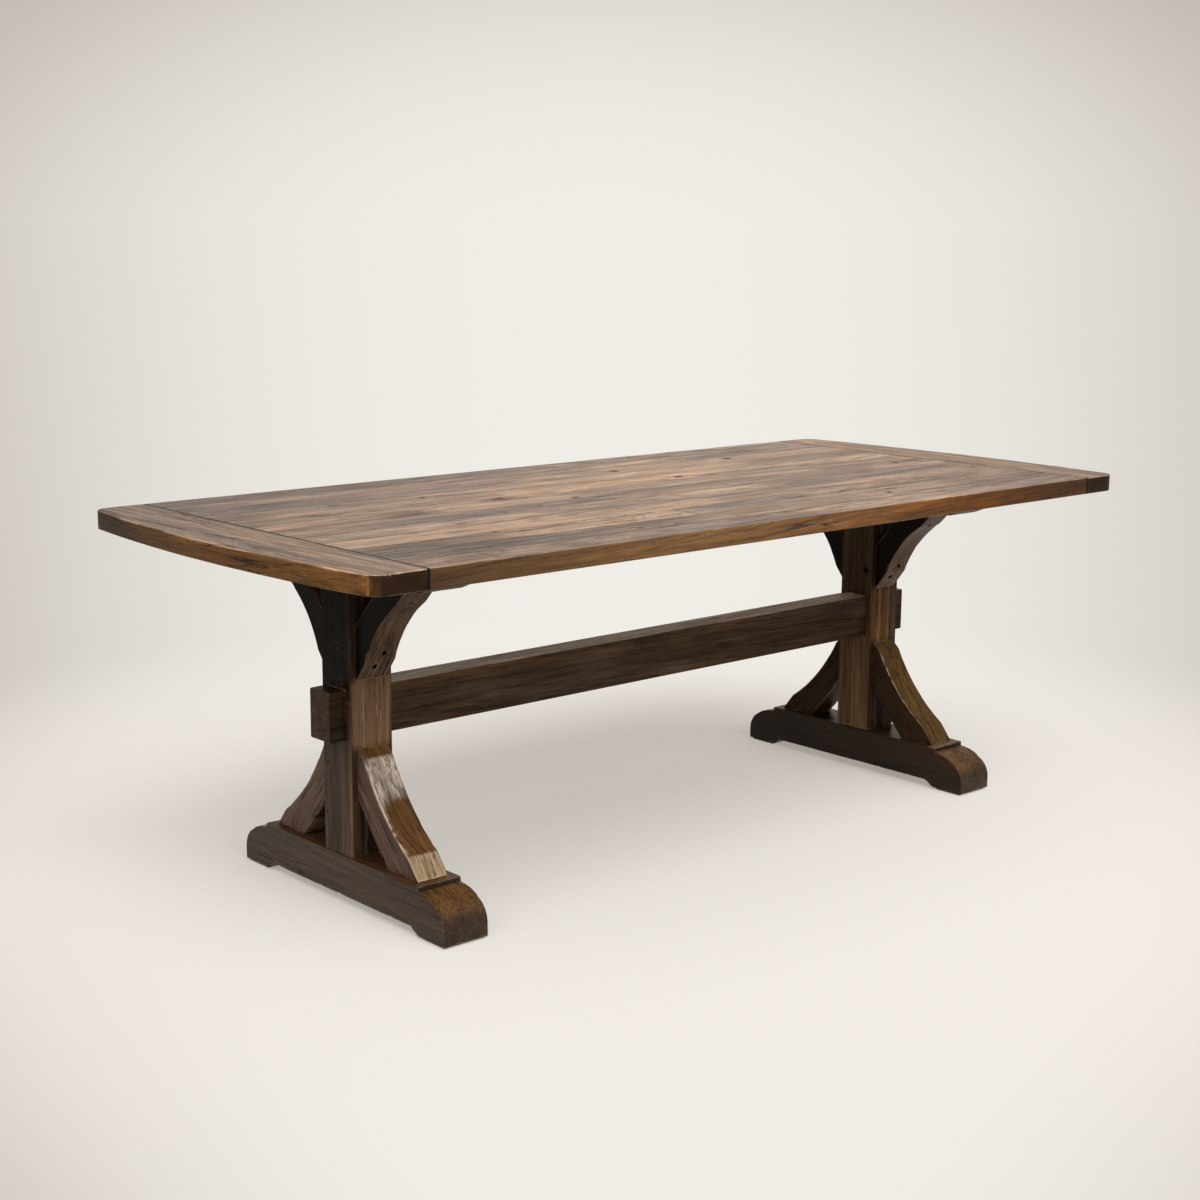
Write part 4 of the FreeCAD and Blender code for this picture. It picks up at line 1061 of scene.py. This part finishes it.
def nail_profile(length, shank, head_start, head):
    height = length - head_start
    return [(0, 0.1 * shank), (2.5 * shank, shank), (head_start, shank),
            (head_start, 0.95 * head), (head_start + 0.5 * height, head), (length, 0.85 * head)]


def peg_profile(length, shank, head_start, head):
    return [(0, shank - PEG_CHAMFER), (PEG_CHAMFER, shank), (0.5 * length, 0.985 * shank),
            (length - PEG_CHAMFER, shank), (length, shank - PEG_CHAMFER)]


def add_washer(bm, points):
    """Adds a washer with the size and place of the given points, with eased edges."""
    axis = np.eye(3)[np.argmin(np.ptp(points, axis=0))]
    run, radius = along_and_out(points, axis)
    inner, outer, thick = radius.min(), radius.max(), np.ptp(run)
    bore, rim = WASHER_BORE_EASE, WASHER_RIM_EASE
    profile = ((0, inner + bore), (bore, inner), (thick - bore, inner), (thick, inner + bore),
               (thick, outer - rim), (thick - rim, outer), (rim, outer), (0, outer - rim))
    turned(bm, profile, middle_of(points) - axis * thick / 2, axis, WASHER_SIDES, closed=True)


def fastener_piece(node, slot, profile, tone=None):
    """Turned copies of a node's fasteners, with washers where it has them."""
    bm = bmesh.new()
    for points in islands(node):
        start, axis, length, shank, head_start, head = measure(points)
        if length < 2.5 * head:
            add_washer(bm, points)
        else:
            shape = profile(length, shank, head_start, head)
            turned(bm, shape, start, axis, FASTENER_SIDES)
    bmesh.ops.recalc_face_normals(bm, faces=bm.faces)
    mesh = mesh_from(bm, node)
    if tone:
        tint = np.tile(rgba(TONES[tone]), (len(mesh.loops), 1))
        write_looks(mesh, corners_of(mesh)[0], tint, np.zeros(len(mesh.vertices)))
    add_piece(node, mesh, slot, FASTENER_ANGLE)


def make_fasteners():
    for node in ("brace_screws", "top_screws", "stretcher_lock_screws"):
        fastener_piece(node, "fastener_steel", screw_profile)
    fastener_piece("glide_nails", "fastener_steel", nail_profile)
    for node in ("brace_dowels", "breadboard_pegs"):
        fastener_piece(node, "dowel_wood", peg_profile, "straw")


def make_glides():
    for side_name in SIDES:
        for face_name in FACES:
            node = f"glide_{side_name}_{face_name}"
            bm = flattened(node)
            ease_edges(bm, 0.0008)
            add_piece(node, mesh_from(bm, node), "glide_plastic")


# -------- camera and studio

CAMERA_PLACE = Vector((-2.8933, -3.1111, 1.3404))
CAMERA_YAW = 0.7266
CAMERA_PITCH = -0.1921
CAMERA_ROLL = 0.0072
LENS = 58.21
SENSOR_WIDTH = 36


def add_camera():
    data = bpy.data.cameras.new("camera")
    data.lens = LENS
    data.sensor_width = SENSOR_WIDTH
    camera = add_object("camera", data)
    forward = Vector((math.sin(CAMERA_YAW) * math.cos(CAMERA_PITCH),
                      math.cos(CAMERA_YAW) * math.cos(CAMERA_PITCH), math.sin(CAMERA_PITCH)))
    camera.location = CAMERA_PLACE
    camera.rotation_mode = "QUATERNION"
    camera.rotation_quaternion = forward.to_track_quat("-Z", "Y") @ Quaternion(Z, CAMERA_ROLL)
    bpy.context.scene.camera = camera


# The level direction that the camera looks in, which the glow on the backdrop follows, and
# the point on the floor from which the glow is measured.
GLOW = (math.sin(CAMERA_YAW), math.cos(CAMERA_YAW), 0)
GLOW_START = (-4.25 * GLOW[0], -4.25 * GLOW[1], 0)
BRIGHT_PAPER = (0.89, 0.86, 0.815)
NEAR_PAPER = (0.89, 0.82, 0.745)
DIM_PAPER = (0.52, 0.475, 0.43)
# What the floor reflects on the table, and what it is where it is seen.
PAPER_BOUNCE = (0.34, 0.32, 0.3)
PAPER = (0.86, 0.86, 0.86)
DOME_LIGHT = (1, 0.958, 0.91)
LAMP_LIGHT = (1, 0.975, 0.94)
FLOOR_REACH = 400


def backdrop_colour(graph, direction):
    """Pale warm grey with a soft glow behind the table and before it."""
    toward = graph.node("VectorMath", {0: direction, 1: GLOW}, operation="DOT_PRODUCT")
    along = graph.math("ABSOLUTE", toward.outputs["Value"])
    height = graph.node("SeparateXYZ", {"Vector": direction}).outputs["Z"]
    tall = graph.math("POWER", graph.add(height, 0.05), 2)
    off = graph.add(2, graph.times(along, -2), graph.times(tall, 2.24))
    return graph.blend(graph.window(off, -0.02, 0.18), rgba(BRIGHT_PAPER), rgba(DIM_PAPER))


def seen_directly(graph):
    """1 for the camera and for what metal or glass shows, 0 for the light on the table."""
    path = graph.node("LightPath").outputs
    shine = graph.math("MAXIMUM", path["Is Glossy Ray"], path["Is Transmission Ray"])
    return graph.math("MAXIMUM", path["Is Camera Ray"], shine)


def add_world():
    """The backdrop is what the camera sees; the dome above gives the soft light."""
    world = bpy.data.worlds.new("studio")
    bpy.context.scene.world = world
    world.use_nodes = True
    world.node_tree.nodes.clear()
    graph = Graph(world.node_tree)
    direction = graph.node("TexCoord").outputs["Generated"]
    shown = graph.node("Background", {"Color": backdrop_colour(graph, direction), "Strength": 1})
    height = graph.node("SeparateXYZ", {"Vector": direction}).outputs["Z"]
    dome = graph.node("Background", {"Color": rgba(DOME_LIGHT),
                                     "Strength": graph.window(height, 0.2, 0.9, 0.02, 0.62)})
    both = graph.node("MixShader", {0: seen_directly(graph), 1: dome.outputs[0],
                                    2: shown.outputs[0]})
    graph.node("OutputWorld", {"Surface": both.outputs[0]})


def add_floor():
    """A wide floor that takes the table's shadow and runs into the backdrop far away."""
    mesh = bpy.data.meshes.new("floor")
    low, high = -FLOOR_REACH, FLOOR_REACH
    corners = [(low, low, 0), (high, low, 0), (high, high, 0), (low, high, 0)]
    mesh.from_pydata(corners, [], [(0, 1, 2, 3)])
    floor = add_object("floor", mesh)
    material, graph = new_material("floor_paper")
    place = graph.node("NewGeometry").outputs["Position"]
    level = graph.scaled(place, (1, 1, 0))
    far = graph.node("VectorMath", {0: level}, operation="LENGTH").outputs["Value"]
    from_start = graph.node("VectorMath", {0: level, 1: GLOW_START}, operation="SUBTRACT")
    direction = graph.node("VectorMath", {0: from_start.outputs[0]}, operation="NORMALIZE")
    away = graph.window(far, 0.6, 2.4)
    shown = graph.blend(away, rgba(NEAR_PAPER), backdrop_colour(graph, direction.outputs[0]))
    seen = seen_directly(graph)
    shade = graph.blend(seen, rgba(PAPER_BOUNCE), rgba(PAPER))
    paper = graph.node("BsdfDiffuse", {"Color": shade})
    glow = graph.node("Emission", {"Color": shown, "Strength": 1})
    # Near the table 0.38 of the floor that the camera sees is painted glow in the warm NEAR_PAPER,
    # which lightens and warms the table's shadow; far away it is all glow.
    share = graph.times(graph.window(far, 0.6, 2.6, 0.38, 1), seen)
    both = graph.node("MixShader", {0: share, 1: paper.outputs[0], 2: glow.outputs[0]})
    graph.node("OutputMaterial", {"Surface": both.outputs[0]})
    mesh.materials.append(material)


def add_lamp(name, source, spread, strength):
    """Parallel light from a wide softbox; source is the direction that it comes from."""
    data = bpy.data.lights.new(name, "SUN")
    data.angle = math.radians(spread)
    data.energy = strength
    data.color = LAMP_LIGHT
    lamp = add_object(name, data)
    lamp.location = source
    lamp.rotation_mode = "QUATERNION"
    lamp.rotation_quaternion = (-Vector(source)).to_track_quat("-Z", "Y")


# -------- assembly

make_materials()
make_staves()
make_end_boards()
make_posts()
make_feet()
make_bearers()
make_stretcher()
make_braces()
make_fasteners()
make_glides()

add_camera()
add_world()
add_floor()
add_lamp("front_softbox", (-0.5, -1.75, 2.3), 52, 1.9)
add_lamp("left_softbox", (-1.6, -0.4, 1.3), 60, 0.5)
add_lamp("low_front_softbox", (0.3, -2.4, 0.85), 40, 0.9)
bpy.context.scene.view_settings.view_transform = "Standard"
